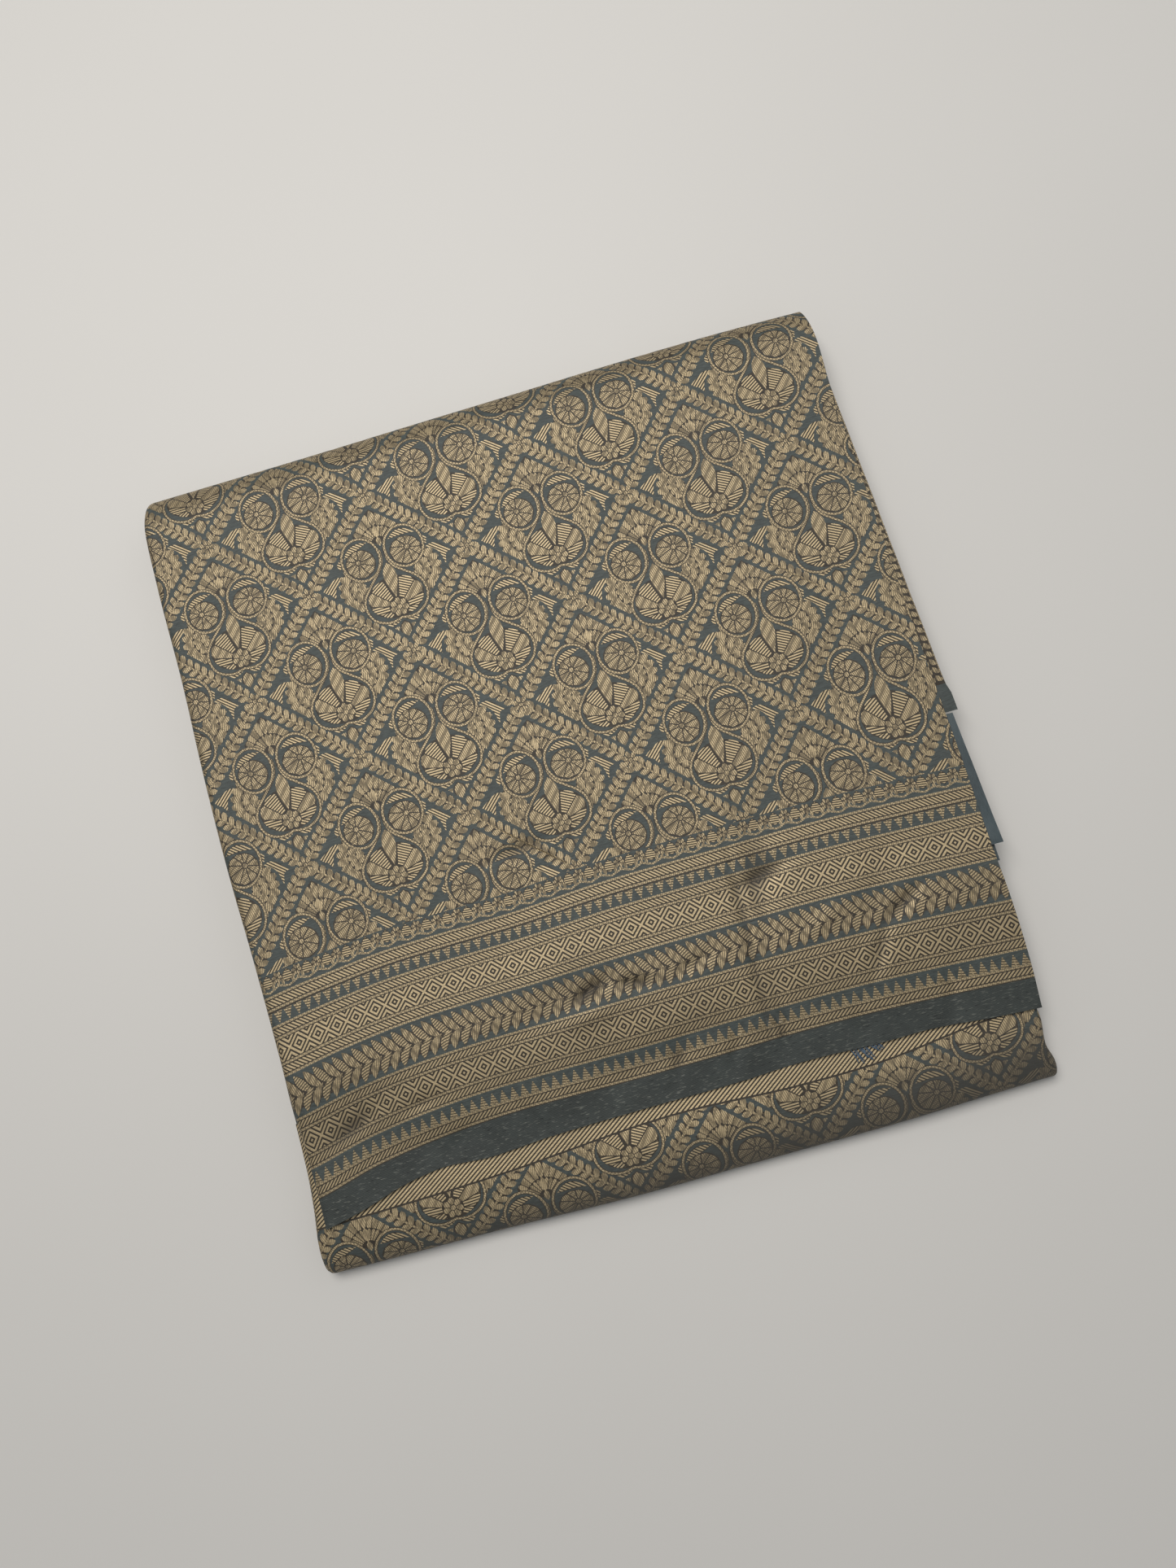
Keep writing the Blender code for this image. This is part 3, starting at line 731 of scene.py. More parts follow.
def lie_on_top(x, v):
    """Where the top ply lies, from the free edge to under the far fold. Its front slopes down to the edge,
    and its left edge curls in as far as the room above the roll allows."""
    free = through(FREE_EDGE, x)
    regular = v.copy()
    for _ in range(4):
        share = np.clip((-100 - regular) / 60, 0, 1.2)
        regular = v - (free + 160) * share**2
    y, z, normal_y, normal_z = top_path(v)
    z = z - (HEIGHT - EDGE_TOP) * ease(-regular, 98, 160)
    room = np.where(v < 0, z - ROLL_TOP - 0.9, 2 * TURN)
    most = np.radians(150 - 80 * ease(v, 155, 181))
    most = np.minimum(most, np.arccos(np.clip(1 - room / TURN, -1, 1)))
    settled, deep = turned_in(x, top_side(v, LEFT), TURN, most)
    pressed = fold_depth(x, y) * ease(z, 12, 18)
    y = y + far_bow(x, y) - normal_y * deep
    return np.stack((settled - ORIGIN_X, y, z - normal_z * deep - pressed), axis=1)


def lay_cloth(name, bm, lie, material, rim=None, rim_deep=0.55):
    """Puts the flat cloth where it lies, gives it its maps, and turns its raw edges down by a hem's depth.
    The map named cloth holds the place on the flat cloth and how deep a fold presses it."""
    bmesh.ops.triangulate(bm, faces=[f for f in bm.faces if len(f.verts) > 4])
    flat = np.array([v.co for v in bm.verts])
    low = flat[:, :2].min(axis=0)
    span = max(flat[:, :2].max(axis=0) - low) * 1.02
    uv = bm.loops.layers.uv.new("OFBake")
    cloth = bm.verts.layers.float_vector.new("cloth")
    for face in bm.faces:
        for loop in face.loops:
            loop[uv].uv = ((loop.vert.co.x - low[0]) / span + 0.01, (loop.vert.co.y - low[1]) / span + 0.01)
    raw = [e for e in bm.edges if rim and e.is_boundary and rim(e)]
    placed = lie(flat[:, 0], flat[:, 1])
    if lie is lie_on_top:
        flat[:, 2] = fold_depth(flat[:, 0], flat[:, 1])
    for vert, spot, old in zip(bm.verts, placed, flat):
        vert[cloth] = old * MM
        vert.co = spot * MM
    if raw:
        made = bmesh.ops.extrude_edge_only(bm, edges=raw)
        new = [v for v in made["geom"] if isinstance(v, bmesh.types.BMVert)]
        bmesh.ops.translate(bm, verts=new, vec=(0, 0, -rim_deep * MM))
    mesh = mesh_of(name, bm)
    mesh.set_sharp_from_angle(angle=math.radians(60))
    made = add_object(name, mesh, material)
    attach(made, "root")
    return made


# The woven line between field and border: x, y
FIELD_LINE = (
    (-190.0, -53.5), (-164.9, -50.8), (-154.0, -49.2), (-134.3, -47.2), (-110.3, -45.0), (-79.0, -44.4),
    (-47.7, -44.1), (-6.1, -41.5), (46.0, -41.1), (98.0, -41.2), (174.4, -44.3), (190.0, -45.0))
FIELD_START = -83.3


def from_cell(p, q):
    """Where a place of the woven pattern lies on the cloth: the weave runs a little askew to the packet."""
    x = 22.83 + 0.9793 * p - 0.0587 * q
    v = 40.53 + 0.0341 * p + 0.9837 * q
    askew = through(FIELD_LINE, x) - (40.53 + 0.0341 * p + 0.9837 * FIELD_START)
    return x, v + askew * (1 - ease(q - FIELD_START, 0, 70))


def raw_edge(edge):
    """An edge along the right side of a flat stretch."""
    return all(v.co.x > 120 for v in edge.verts)


bm = cloth_mesh(repeated(field_unit, lattice((-214.0, FIELD_START), (164.0, 184.0))))
cut_lines(bm, 1, [FIELD_START], clear="below")
for vert in bm.verts:
    vert.co = (*from_cell(vert.co.x, vert.co.y), 0)
trim_sides(bm, top_side)
cut_lines(bm, 1, [FAR_END], clear="above")
cut_lines(bm, 1, list(np.arange(FAR_START, FAR_END, 2.6)), within=14)
field = lay_cloth("field_cloth", bm, lie_on_top, brocade, rim=raw_edge)
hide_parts("top_ply")

# The border: bands of rope, lozenges, points and a leaf chevron, woven in one with the field and running
# along its lower side. Places are x along it and b down it from the field, as minus millimetres.
SELVAGE_LINE = (
    (-190.0, -158.0), (-164.5, -154.6), (-137.1, -147.7), (-97.9, -142.3), (0.3, -140.8), (98.5, -140.2),
    (167.2, -143.6), (190.0, -145.0))
BORDER_DEEP = 97.5


def from_border(x, b):
    """Where a place of the border lies on the cloth."""
    start = through(FIELD_LINE, x)
    return start + b / BORDER_DEEP * (start - through(SELVAGE_LINE, x))


def joined(parts):
    """Several drawn parts as one."""
    spots, corners, weave = zip(*parts)
    counts = np.cumsum([0] + [len(part) for part in spots])
    corners = [part + count for part, count in zip(corners, counts)]
    return np.concatenate(spots), np.concatenate(corners), np.concatenate(weave)


def rows_of(xs, bs, weave_at):
    """A drawn strip on a grid, from its top row down, with the weave given at every corner."""
    grid = np.array([(x, b) for b in bs for x in xs])
    wide = len(xs)
    corners = []
    for j in range(len(bs) - 1):
        for a in range(j * wide, j * wide + wide - 1):
            corners += [(a + wide + 1, a + 1, a), (a + wide, a + wide + 1, a)]
    corners = np.array(corners)
    return grid, corners, weave_at(grid)[corners]


def band(top, bottom, yarn=OUTLINE, turn=0.0, pitch=1.0, rib=0.0):
    """A straight band with slanting ribs."""
    def weave_at(grid):
        run = heading(turn) / pitch
        return np.column_stack((grid @ run, np.full(len(grid), yarn), np.full(len(grid), rib)))

    bs = np.linspace(-top, -bottom, max(2, round((bottom - top) / 1.5) + 1))
    return rows_of(np.arange(-186, 187, 1.8), bs, weave_at)


def rope(top, bottom, lean):
    """A rope of short strokes between two thin brown lines; lean 1 leans right, -1 leans left."""
    thin = 0.5
    strokes = band(top + thin, bottom - thin, ZARI, 90 + lean * 40, 2.0 * math.sin(math.radians(40)), 1.0)
    return [band(top, top + thin), strokes, band(bottom - thin, bottom)]


def cord_line(middle):
    """A fine gold line, twisted like a cord."""
    return [band(middle - 0.5, middle + 0.5, ZARI, 115, 0.8, 0.3)]


def lozenges(top, bottom, first):
    """Nested lozenges side by side: the ribs follow the distance from each middle."""
    pitch = 9.45
    rings = 2.0

    def weave_at(grid):
        place = (grid[:, 0] - first) / pitch
        along = np.abs(place - np.round(place)) * 2
        across = np.abs(grid[:, 1] + (top + bottom) / 2) / ((bottom - top) / 2)
        return np.column_stack(((along + across) * rings + 0.5, np.full(len(grid), ZARI), np.ones(len(grid))))

    first -= pitch * math.ceil((first + 188) / pitch)
    return [rows_of(np.arange(first, 190, pitch / 6), np.linspace(-top, -bottom, 7), weave_at)]


def run_of(unit, first, pitch):
    """A unit repeated along the border."""
    first -= pitch * math.ceil((first + 188) / pitch)
    return [repeated(unit, [np.array((x, 0.0)) for x in np.arange(first, 188, pitch)])]


def box(left, top, right, bottom):
    return [(left, -bottom), (right, -bottom), (right, -top), (left, -top)]


def points_unit(top, bottom, down):
    """One gold point on teal, with a finely woven point in it."""
    pitch = 4.87
    base, tip = (top + 0.1, bottom - 0.7) if down else (bottom - 0.1, top + 0.7)
    shape = [(0.35, -base), (pitch - 0.35, -base), (pitch / 2 + 0.2, -tip), (pitch / 2 - 0.2, -tip)]
    small = [(pitch / 2 - 0.55, -base), (pitch / 2 + 0.55, -base), (pitch / 2, -(base * 0.55 + tip * 0.45))]
    return overlay(box(0, top, pitch, bottom), [(shape, ZARI, (80.0, 1.15, 0.9)), (small, ZARI, FINE)], 0)


def chevron_unit(top, bottom, spine):
    """Leaves on both sides of a spine, leaning back along the border."""
    pitch = 4.85
    shapes = [(box(-1, top + 3.4, 2 * pitch + 1, bottom - 3.0), OUTLINE, FINE)]
    for k in range(-2, 5):
        x = pitch * k
        ribs = (120.0, 1.15, 0.9) if k % 2 else (20.0, 0.95, 0.7)
        shapes += edged_leaf((x + 8.0, -spine - 1.0), (x, -top - 0.3), 3.5, ribs, 0.05, 7, 0.56)
    for k in range(-2, 5):
        x = pitch * k
        ribs = (105.0, 1.15, 0.9) if k % 2 else (-14.0, 0.95, 0.7)
        shapes += edged_leaf((x + 8.0, -spine + 0.9), (x + 2.6, -bottom + 0.5), 3.7, ribs, -0.15, 7, 0.56)
    return overlay(box(0, top, 2 * pitch, bottom), shapes, 2.4)


def vine_unit(bottom, pitch):
    """A ribbed leaf and a rose on a wavy stem."""
    wavy = curve([(pitch * k / 4, -7.1 + (0.0, -0.7, 0.0, 0.8)[k % 4]) for k in range(-2, 8)], 4)
    shapes = [(ribbon(wavy, 0.9), ZARI, TWISTED)]
    for k in (-1, 0, 1):
        x = pitch * k
        rose = (x + 7.4, -2.8)
        shapes.append((leaf((x + 2.5, -6.4), (x + 2.5, -0.3), 5.4, steps=8, full=0.42), OUTLINE, FINE))
        ribbed = leaf((x + 2.5, -6.0), (x + 2.5, -0.7), 4.6, steps=8, full=0.42)
        shapes.append((ribbed, ZARI, (84.0, 1.0, 1.0)))
        shapes.append((oval(rose, 2.5, 2.3, 10), OUTLINE, FINE))
        for petal in fan(rose, [20 + 60 * n for n in range(7)], 0.5, lambda a: 2.5, 0.35, 0.2, 3):
            shapes.append((petal, ZARI, FINE))
        shapes.append((leaf((x + 4.6, -6.9), (x + 5.4, -3.6), 1.7), ZARI, FINE))
        shapes.append((leaf((x + 0.3, -6.6), (x - 0.4, -3.9), 1.7), ZARI, FINE))
        shapes.append((leaf((x + 7.4, -6.9), (x + 7.4, -4.9), 1.5), ZARI, FINE))
    return overlay(box(0, 0, pitch, bottom), shapes, 2.4)


TWISTED = (62.0, 0.9, 0.5)
parts = run_of(vine_unit(9.2, 9.8), -68.6, 9.8)
parts += cord_line(9.7) + rope(10.2, 14.5, -1) + cord_line(15.0)
parts += [band(15.5, 16.3)] + run_of(points_unit(16.3, 21.8, True), -67.6, 4.87)
parts += cord_line(22.3) + rope(22.8, 26.7, -1) + cord_line(27.2) + [band(27.7, 28.1)]
parts += lozenges(28.1, 37.4, -61.6) + [band(37.4, 37.8)] + cord_line(38.3) + rope(38.8, 42.7, -1)
parts += cord_line(43.2)
parts += [band(43.7, 44.5, GROUND)] + run_of(chevron_unit(44.5, 62.0, 54.0), -70.5, 9.7)
parts += [band(62.0, 62.1, GROUND)] + cord_line(62.6) + rope(63.1, 66.9, 1) + cord_line(67.4)
parts += [band(67.9, 68.4)] + lozenges(68.4, 78.1, -57.9) + [band(78.1, 78.5)] + cord_line(79.0)
parts += rope(79.5, 83.6, 1) + cord_line(84.1)
parts += [band(84.6, 85.4, GROUND)] + run_of(points_unit(85.4, 91.2, False), -69.5, 4.85)
parts += cord_line(91.7) + rope(92.2, 96.0, 1) + cord_line(96.5) + [band(97.0, BORDER_DEEP)]
bm = cloth_mesh(joined(parts))
for vert in bm.verts:
    vert.co.y = from_border(vert.co.x, vert.co.y)
trim_sides(bm, top_side)
border = lay_cloth("border_cloth", bm, lie_on_top, brocade, rim=raw_edge)
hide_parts("top_ply")

# The selvage: the cloth's firm dark edge, woven in plain teal twill with a few pale picks. It lies below the
# border and is the top ply's free edge.
selvage_cloth, start = finish_named("selvage")
cloth = start.attribute("cloth")
picks = cloth.stretched((0.35, 1.6, 1.0), 32).noise(1000.0)
specks = picks.rise(0.58, 0.72)
twill = (cloth.part("X") * 900.0 + cloth.part("Y") * 1300.0).wave()
base = cloth.noise(60.0, 3.0).rise(0.3, 0.7).blend((0.018, 0.023, 0.022, 1), (0.034, 0.042, 0.040, 1))
shown = (specks * 0.5 + twill * 0.10).blend(base, (0.16, 0.165, 0.14, 1))
start.surface({
    "Base Color": (picks.rise(0.36, 0.30) * 0.8).blend(shown, (0.008, 0.010, 0.010, 1)),
    "Roughness": 0.72 - specks * 0.2,
    "Normal": (twill * 0.6 + picks).relief(0.5, 0.0002),
})


def plain_weave(grid):
    return np.zeros((len(grid), 3))


def front_edge(edge):
    """An edge along the free front or the right side."""
    spots = [v.co for v in edge.verts]
    at_free = all(c.y < -149 and abs(c.y - through(FREE_EDGE, c.x)) < 0.4 for c in spots)
    return at_free or raw_edge(edge)


rows = (0.0, -0.12, -0.25, -0.4, -0.55, -0.7, -0.85, -0.95, -1.0)
grid, corners, weave = rows_of(np.arange(-186, 187, 2.0), rows, plain_weave)
start, free = through(SELVAGE_LINE, grid[:, 0]), through(FREE_EDGE, grid[:, 0])
grid[:, 1] = start - grid[:, 1] * (free - start)
bm = cloth_mesh((grid, corners, weave))
trim_sides(bm, top_side)
selvage = lay_cloth("selvage", bm, lie_on_top, selvage_cloth, rim=front_edge, rim_deep=1.2)
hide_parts("top_ply")

# The front roll: the middle panel of the same cloth, turned round the soft fold at the front. The field runs
# up it to a band of coarse gold twill, which goes in under the selvage.
FRONT = -192.5
ROLL_WAIST = 6.5
ROLL_DEEP_ABOVE = 28.5
ROLL_DEEP_BELOW = 12.5
ROLL_TUCK = -120.0
RIGHT_TURN = 2.4
ROLL_LINE = (
    (-185.0, -170.4), (-165.0, -169.6), (-85.0, -166.0), (5.0, -160.0), (60.0, -162.4), (95.0, -162.5),
    (150.0, -157.6), (185.0, -156.5))
ROLL_START = FRONT + ROLL_DEEP_ABOVE
UNDER_START = FRONT + ROLL_DEEP_BELOW
upper_bend = Bend(ROLL_START, ROLL_WAIST, ROLL_DEEP_ABOVE, ROLL_TOP - ROLL_WAIST, 90, 180)
lower_bend = Bend(UNDER_START, ROLL_WAIST, ROLL_DEEP_BELOW, ROLL_WAIST, 180, 238)
ROLL_FRONT = ROLL_START - upper_bend.length
ROLL_END = ROLL_FRONT - lower_bend.length


def roll_path(v):
    """y, z and outward normal of a place round the roll."""
    bent = np.where(v < ROLL_FRONT, lower_bend.path(ROLL_FRONT - v), upper_bend.path(ROLL_START - v))
    return np.where(v > ROLL_START, flat_path(v, ROLL_TOP), bent)


def roll_side(v, side):
    return through(LOW_OUTLINE, roll_path(v)[0], side)


def roll_line(x):
    """The woven line between the roll's field and its twill."""
    return through(ROLL_LINE, x)


def lie_on_roll(x, v):
    y, z, normal_y, normal_z = roll_path(v)
    flat = ease(y, ROLL_START - 8, ROLL_START + 10)
    settled, deep = turned_in(x, roll_side(v, LEFT), TURN, np.radians(60 + 50 * flat))
    mirrored_x, right_deep = turned_in(-x, -roll_side(v, RIGHT), RIGHT_TURN, math.radians(80))
    settled = np.where(x > 0, -mirrored_x, settled)
    soft = 0.35 * (1 - np.cos(x / 21.0 + 1.7 * np.sin(v / 19.0))) * ease(-y, 130, 150) * ease(z, 3, 9)
    deep = deep + right_deep + soft
    return np.stack((settled - ORIGIN_X, y + front_bow(x, y) - normal_y * deep, z - normal_z * deep), axis=1)


spots, corners, weave = repeated(field_unit, lattice((-166.0, -80.0), (206.0, 6.0)))
x = -24.0 + 1.038 * spots[:, 0] - 0.024 * spots[:, 1]
v = -154.4 + 0.029 * spots[:, 0] + spots[:, 1]
bm = cloth_mesh((np.column_stack((x, v)), corners, weave))
cut_lines(bm, 1, [-0.9], roll_line, clear="above")
cut_lines(bm, 1, [ROLL_END], clear="below")
# The twill's top row lies on the woven line and its bottom row is the tuck, so its triangles are turned over.
twill_deep = 60.0
spots, corners, weave = band(0.0, twill_deep, ZARI, rib=1.0)
line_y = roll_line(spots[:, 0])
spots[:, 1] = line_y - spots[:, 1] / twill_deep * (ROLL_TUCK - line_y)
weave[:, :, 0] = (spots @ heading(125) / 1.5)[corners]
line = band(0.0, 0.9)
line[0][:, 1] += roll_line(line[0][:, 0])
bm.from_mesh(mesh_of("twill", cloth_mesh(joined([(spots, corners[:, ::-1], weave[:, ::-1]), line]))))
trim_left(bm, lambda v: roll_side(v, LEFT), 1.92, (0, 25, 50, 75))
cut_lines(bm, 0, [RIGHT_TURN * 0.4], lambda v: roll_side(v, RIGHT), clear="above")
bends = [RIGHT_TURN * (math.radians(a) - 1) for a in (0, 25, 50)]
cut_lines(bm, 0, bends, lambda v: roll_side(v, RIGHT), within=14)
cut_lines(bm, 1, list(np.arange(ROLL_END + 1.2, ROLL_START + 2, 2.2)), within=14)
# Painted light: the roll's copy of the brocade has its gold painted a quarter brighter than the same cloth on
# top, and painted shade along its front.
painted_light_gold = [1.25 * c for c in GOLD]
roll = lay_cloth("roll_cloth", bm, lie_on_roll, brocade_finish("roll_brocade", painted_light_gold, (-0.190, -0.170)))
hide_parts("front_roll")

# The underside: the lowest panel of the same cloth, flat on the table between the two folds. Down here the
# pattern is the same diamond, drawn without its brown outlines.
under_far = Bend(FAR_START, FAR_HIGH, FAR_DEEP, FAR_HIGH, -90, -58)
under_near = Bend(UNDER_START, ROLL_WAIST, ROLL_DEEP_BELOW, ROLL_WAIST, 270, 240)
UNDER_LOW = UNDER_START - under_near.length
UNDER_HIGH = FAR_START + under_far.length


def under_path(v):
    path = np.where(v > FAR_START, under_far.path(v - FAR_START), flat_path(v, 0.0))
    return np.where(v < UNDER_START, under_near.path(UNDER_START - v), path)


def under_side(v, side):
    return through(LOW_OUTLINE, under_path(v)[0], side)


def lie_under(x, v):
    y, z = under_path(v)[:2]
    most = np.radians(150 - 90 * np.maximum(ease(v, 155, 175), ease(-v, 150, 178)))
    settled, deep = turned_in(x, under_side(v, LEFT), TURN, most)
    return np.stack((settled - ORIGIN_X, y + front_bow(x, y) + far_bow(x, y), z + deep), axis=1)


plain_unit = overlay(DIAMOND_EDGE, [shape for shape in diamond() if shape[1] != OUTLINE], 0)
bm = cloth_mesh(repeated(plain_unit, lattice((-190.0, UNDER_LOW), (190.0, UNDER_HIGH))))
trim_sides(bm, under_side)
cut_lines(bm, 1, [UNDER_LOW], clear="below")
cut_lines(bm, 1, [UNDER_HIGH], clear="above")
cut_lines(bm, 1, [FAR_START, FAR_START + 3, UNDER_START, UNDER_START - 2.5], within=14)
under = lay_cloth("underside_cloth", bm, lie_under, brocade)
under.data.flip_normals()
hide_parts("underside_ply")

# The hidden plies: the rest of the folded cloth, seen only as stacked folds at the sides. The slab keeps the
# solid's form, and each ply's folded edge is a thin rounded lip that follows the folds round the packet.
layer_edges, start = finish_named("layer_edges")
place = start.node("ShaderNodeTexCoord", {}, {}, "Object")
plies = place.stretched((40.0, 26.0, 900.0)).noise(1.0)
knots = place.noise(420.0, 3.0)
dashes = {"Vector": place.stretched((300.0, 330.0, 60.0)), "Scale": 1.0}
floats = start.node("ShaderNodeTexVoronoi", {}, dashes, "Distance")
gold = (plies * 0.6 + knots * 0.5 - floats * 0.25).rise(0.30, 0.52)
start.surface({
    "Base Color": gold.blend((0.034, 0.044, 0.045, 1), (0.27, 0.20, 0.11, 1)),
    "Roughness": 0.68 - gold * 0.12,
    "Metallic": gold * 0.35,
    "Normal": (knots + plies).relief(0.6, 0.0003),
})
bm = bmesh.new()
bm.from_mesh(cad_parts["inner_layers"].data)
bmesh.ops.remove_doubles(bm, verts=bm.verts, dist=1e-5)
# The slab's top is let down, so that the folds pressed into the top ply stay clear of it.
top_face = [v for v in bm.verts if v.co.z > 0.0205 and abs(v.co.y) < 0.172]
bmesh.ops.translate(bm, verts=top_face, vec=(0, 0, -0.0012))
mesh = mesh_of("inner_plies", bm)
mesh.set_sharp_from_angle(angle=math.radians(40))
plies = add_object("inner_plies", mesh, layer_edges)
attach(plies, "root")
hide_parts("inner_layers")


def packet_path(deep):
    """The way round the packet at a depth below its face: y, z, outward normal, share of the top panel."""
    rows = [(y, HEIGHT - deep, 0.0, 1.0, 1.0) for y in np.arange(-96, 175, 4.5)]
    for a in np.radians(np.linspace(90, -90, 22)):
        out = np.array((FAR_HIGH * math.cos(a), FAR_DEEP * math.sin(a)))
        out /= np.linalg.norm(out)
        y = FAR_START + FAR_DEEP * math.cos(a) - deep * out[0]
        z = FAR_HIGH + FAR_HIGH * math.sin(a) - deep * out[1]
        rows.append((y, z, out[0], out[1], float(ease(z, 4, 20))))
    rows += [(y, deep, 0.0, -1.0, 0.0) for y in np.arange(170, -178, -4.5)]
    for v in np.linspace(ROLL_FRONT - 14, ROLL_START, 34):
        y, z, out_y, out_z = roll_path(np.array(v))
        if z > 2.0:
            rows.append((y - deep * out_y, z - deep * out_z, out_y, out_z, 0.0))
    rows += [(y, ROLL_TOP - deep, 0.0, 1.0, 0.0) for y in np.arange(-160, 166, 4.5)]
    return np.array(rows)


def lip(bm, deep, side, seed):
    """One ply's folded edge, as a half-round lip along the packet's path at a depth."""
    y, z, out_y, out_z, upper = packet_path(deep).T
    column = LEFT if side < 0 else RIGHT
    edge = upper * through(TOP_OUTLINE, y, column) + (1 - upper) * through(LOW_OUTLINE, y, column)
    away = np.concatenate(([0.0], np.cumsum(np.hypot(np.diff(y), np.diff(z)))))
    wave = np.sin(away / (19.0 + 3 * seed % 7) + seed * 2.1) + 0.5 * np.sin(away / 7.3 + seed)
    reach = edge - side * (0.95 + 0.38 * wave) - ORIGIN_X
    end = np.full_like(y, side * 170.0)
    bowed = y + front_bow(end, y) + far_bow(end, y)
    # The section goes in from the rounded edge: how far in, how far out from the path
    half_high, flat_end = 0.33, 3.2
    section = [(0.5 - 0.5 * math.cos(a), half_high * math.sin(a)) for a in np.radians((-90, -50, 0, 50, 90))]
    section = [(flat_end, -half_high)] + section + [(flat_end, half_high)]
    rings = []
    for k in range(len(y)):
        spots = [(reach[k] - side * inward, bowed[k] + out_y[k] * rise, z[k] + out_z[k] * rise)
                 for inward, rise in section]
        rings.append([bm.verts.new(Vector(spot) * MM) for spot in spots])
    for first, second in zip(rings, rings[1:]):
        for k in range(len(section) - 1):
            bm.faces.new((first[k], first[k + 1], second[k + 1], second[k]))


bm = bmesh.new()
for k, deep in enumerate(np.arange(1.75, 7.9, 0.76)):
    lip(bm, deep, -1, k)
for k, deep in enumerate(np.arange(2.1, 7.9, 0.76)):
    lip(bm, deep, 1, k + 9)
bmesh.ops.recalc_face_normals(bm, faces=bm.faces)
lips = add_object("ply_lips", mesh_of("ply_lips", bm), layer_edges)
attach(lips, "root")

# The plies that stand out at the right: a wedge of the brocade with a leaf chain, and under the border two
# strips of plain teal silk from the cloth's unpatterned end. Each edge is a row of places: y, x.
SIDE_PLY_EDGE = ((-18.8, 175.7), (-7.0, 175.2), (-6.0, 174.0), (40.0, 171.3), (98.0, 168.2), (146.0, 165.6))
PLAIN_END_EDGE = ((-82.2, 176.9), (-40.0, 174.2), (-19.6, 172.9))
PLAIN_END_UNDER_EDGE = ((-89.8, 173.6), (-48.0, 172.4))
LEDGE_TOP = 22.6
SLOT_TOP = 19.6
plain_silk, start = finish_named("plain_silk")
cloth = start.attribute("cloth")
grain = cloth.stretched((3.0, 0.4, 1.0)).noise(700.0, 3.0)
mixed = (grain * 0.5 + cloth.noise(50.0) * 0.6).rise(0.35, 0.75)
threads = (cloth.part("X") * 2400.0).wave() * (cloth.part("Y") * 2200.0).wave()
start.surface({
    "Base Color": mixed.blend((0.030, 0.044, 0.050, 1), (0.060, 0.083, 0.092, 1)),
    "Roughness": 0.42 + grain * 0.12,
    "Normal": (threads * 0.4 + grain).relief(0.4, 0.0002),
})


def edge_x(rows, y):
    return float(np.interp(y, *np.array(rows).T))


def standing_ply(name, edge_rows, inner, top, shapes, material):
    """A flat stretch of an inner ply between its hidden inner side and its uneven outer edge."""
    ys = np.linspace(edge_rows[0][0], edge_rows[-1][0], 40)
    outer = [(edge_x(edge_rows, y), y) for y in ys]
    inner_side = [(through(TOP_OUTLINE, y, RIGHT) - inner, y) for y in ys[::-1]]

    def lie(x, v):
        out = x - through(TOP_OUTLINE, v, RIGHT)
        sag = 0.5 * ease(out, 1, 9) + 0.12 * np.sin(v / 5.0 + x / 3.0)
        return np.stack((x - ORIGIN_X, v, top - sag), axis=1)

    def outer_edge(edge):
        return all(v.co.x > through(TOP_OUTLINE, v.co.y, RIGHT) - 1 for v in edge.verts)

    bm = cloth_mesh(overlay(outer + inner_side, shapes, 2.5))
    return lay_cloth(name, bm, lie, material, rim=outer_edge, rim_deep=0.7)


shapes = [([(150, -5.6), (180, -5.6), (180, 150), (150, 150)], OUTLINE, FINE)]
for k in range(38):
    y = -4.0 + 4.0 * k
    x = edge_x(SIDE_PLY_EDGE, y)
    shapes.append((leaf((x - 0.5, y), (x - 3.3, y + 3.0), 2.3, bend=0.08), ZARI, FINE))
    shapes.append((leaf((x - 3.9, y + 2.0), (x - 6.9, y - 0.6), 2.3, bend=0.08), ZARI, FINE))
    shapes.append((ribbon(((x - 0.3, y), (x - 0.4, y + 4.0)), 0.35), ZARI, TWISTED))
side = standing_ply("side_ply_cloth", SIDE_PLY_EDGE, 13.4, LEDGE_TOP, shapes, brocade)
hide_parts("side_ply")
plain = standing_ply("plain_end_cloth", PLAIN_END_EDGE, 13.4, LEDGE_TOP, [], plain_silk)
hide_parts("plain_end")
plain_under = standing_ply("plain_end_under_cloth", PLAIN_END_UNDER_EDGE, 9.4, SLOT_TOP, [], plain_silk)
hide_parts("plain_end_under")

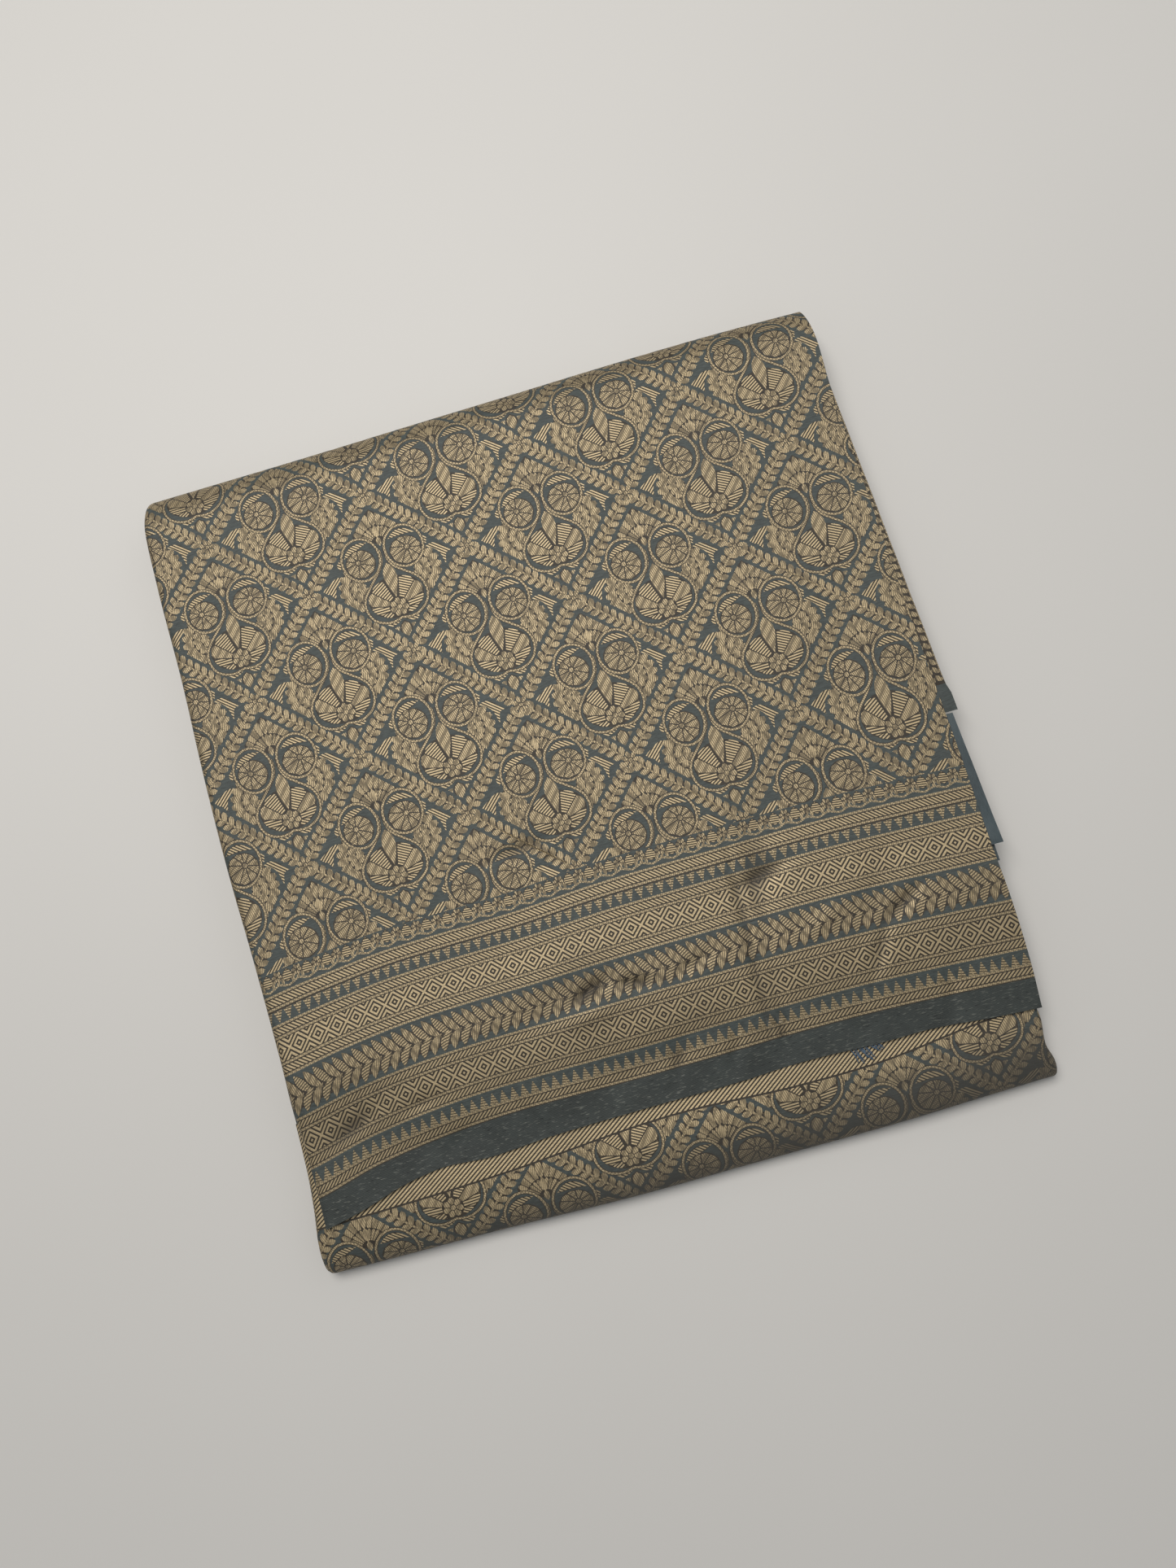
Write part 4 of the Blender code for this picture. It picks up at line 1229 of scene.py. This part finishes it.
# The stitches: a few blue threads, worked by hand through the twill just under the selvage and left long.
# Each has its place (x, y), length and turn in degrees.
STITCHES = (
    (83.8, -152.6, 5.2, -62.0), (84.6, -152.8, 7.2, -70.0), (85.5, -152.4, 6.4, -56.0),
    (86.1, -152.9, 8.4, -66.0), (86.9, -152.5, 7.6, -74.0), (87.6, -152.7, 9.0, -60.0),
    (88.3, -152.4, 7.0, -68.0), (89.1, -152.9, 8.6, -58.0), (89.9, -152.6, 6.2, -72.0),
    (90.6, -152.8, 7.8, -54.0), (91.5, -152.5, 5.4, -66.0), (92.3, -152.7, 6.8, -48.0),
    (93.2, -152.4, 5.0, -62.0), (94.0, -152.8, 6.0, -44.0), (95.0, -152.6, 4.4, -58.0),
    (96.0, -152.7, 5.2, -40.0), (97.2, -152.8, 3.6, -52.0))
THREAD_RADIUS = 0.22
thread_finish, start = finish_named("thread")
fuzz = start.node("ShaderNodeTexCoord", {}, {}, "Object").noise(1500.0)
start.surface({"Base Color": fuzz.blend((0.040, 0.080, 0.135, 1), (0.090, 0.145, 0.21, 1)), "Roughness": 0.6})
bm = bmesh.new()
for k, (x, y, length, turn) in enumerate(STITCHES):
    ahead = np.array((*heading(turn), 0.0))
    aside = np.array((-ahead[1], ahead[0], 0.0))
    rings = []
    for t in [step / 6 for step in range(7)]:
        middle = np.array((x - ORIGIN_X, y, ROLL_TOP + 0.35 + 0.5 * math.sin(math.pi * t)))
        middle = middle + ahead * length * t + aside * (0.5 * math.sin(2.4 * t + k) - 0.5 * math.sin(k))
        ring_verts = bmesh.ops.create_circle(bm, segments=6, radius=THREAD_RADIUS)["verts"]
        for vert in ring_verts:
            vert.co = Vector((middle + aside * vert.co.x + np.array((0, 0, vert.co.y))) * MM)
        rings.append(list({e for v in ring_verts for e in v.link_edges}))
    for first, second in zip(rings, rings[1:]):
        bmesh.ops.bridge_loops(bm, edges=first + second)
bmesh.ops.holes_fill(bm, edges=[e for e in bm.edges if e.is_boundary], sides=0)
bmesh.ops.recalc_face_normals(bm, faces=bm.faces)
stitches = add_object("stitches", mesh_of("stitches", bm), thread_finish)
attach(stitches, "root")
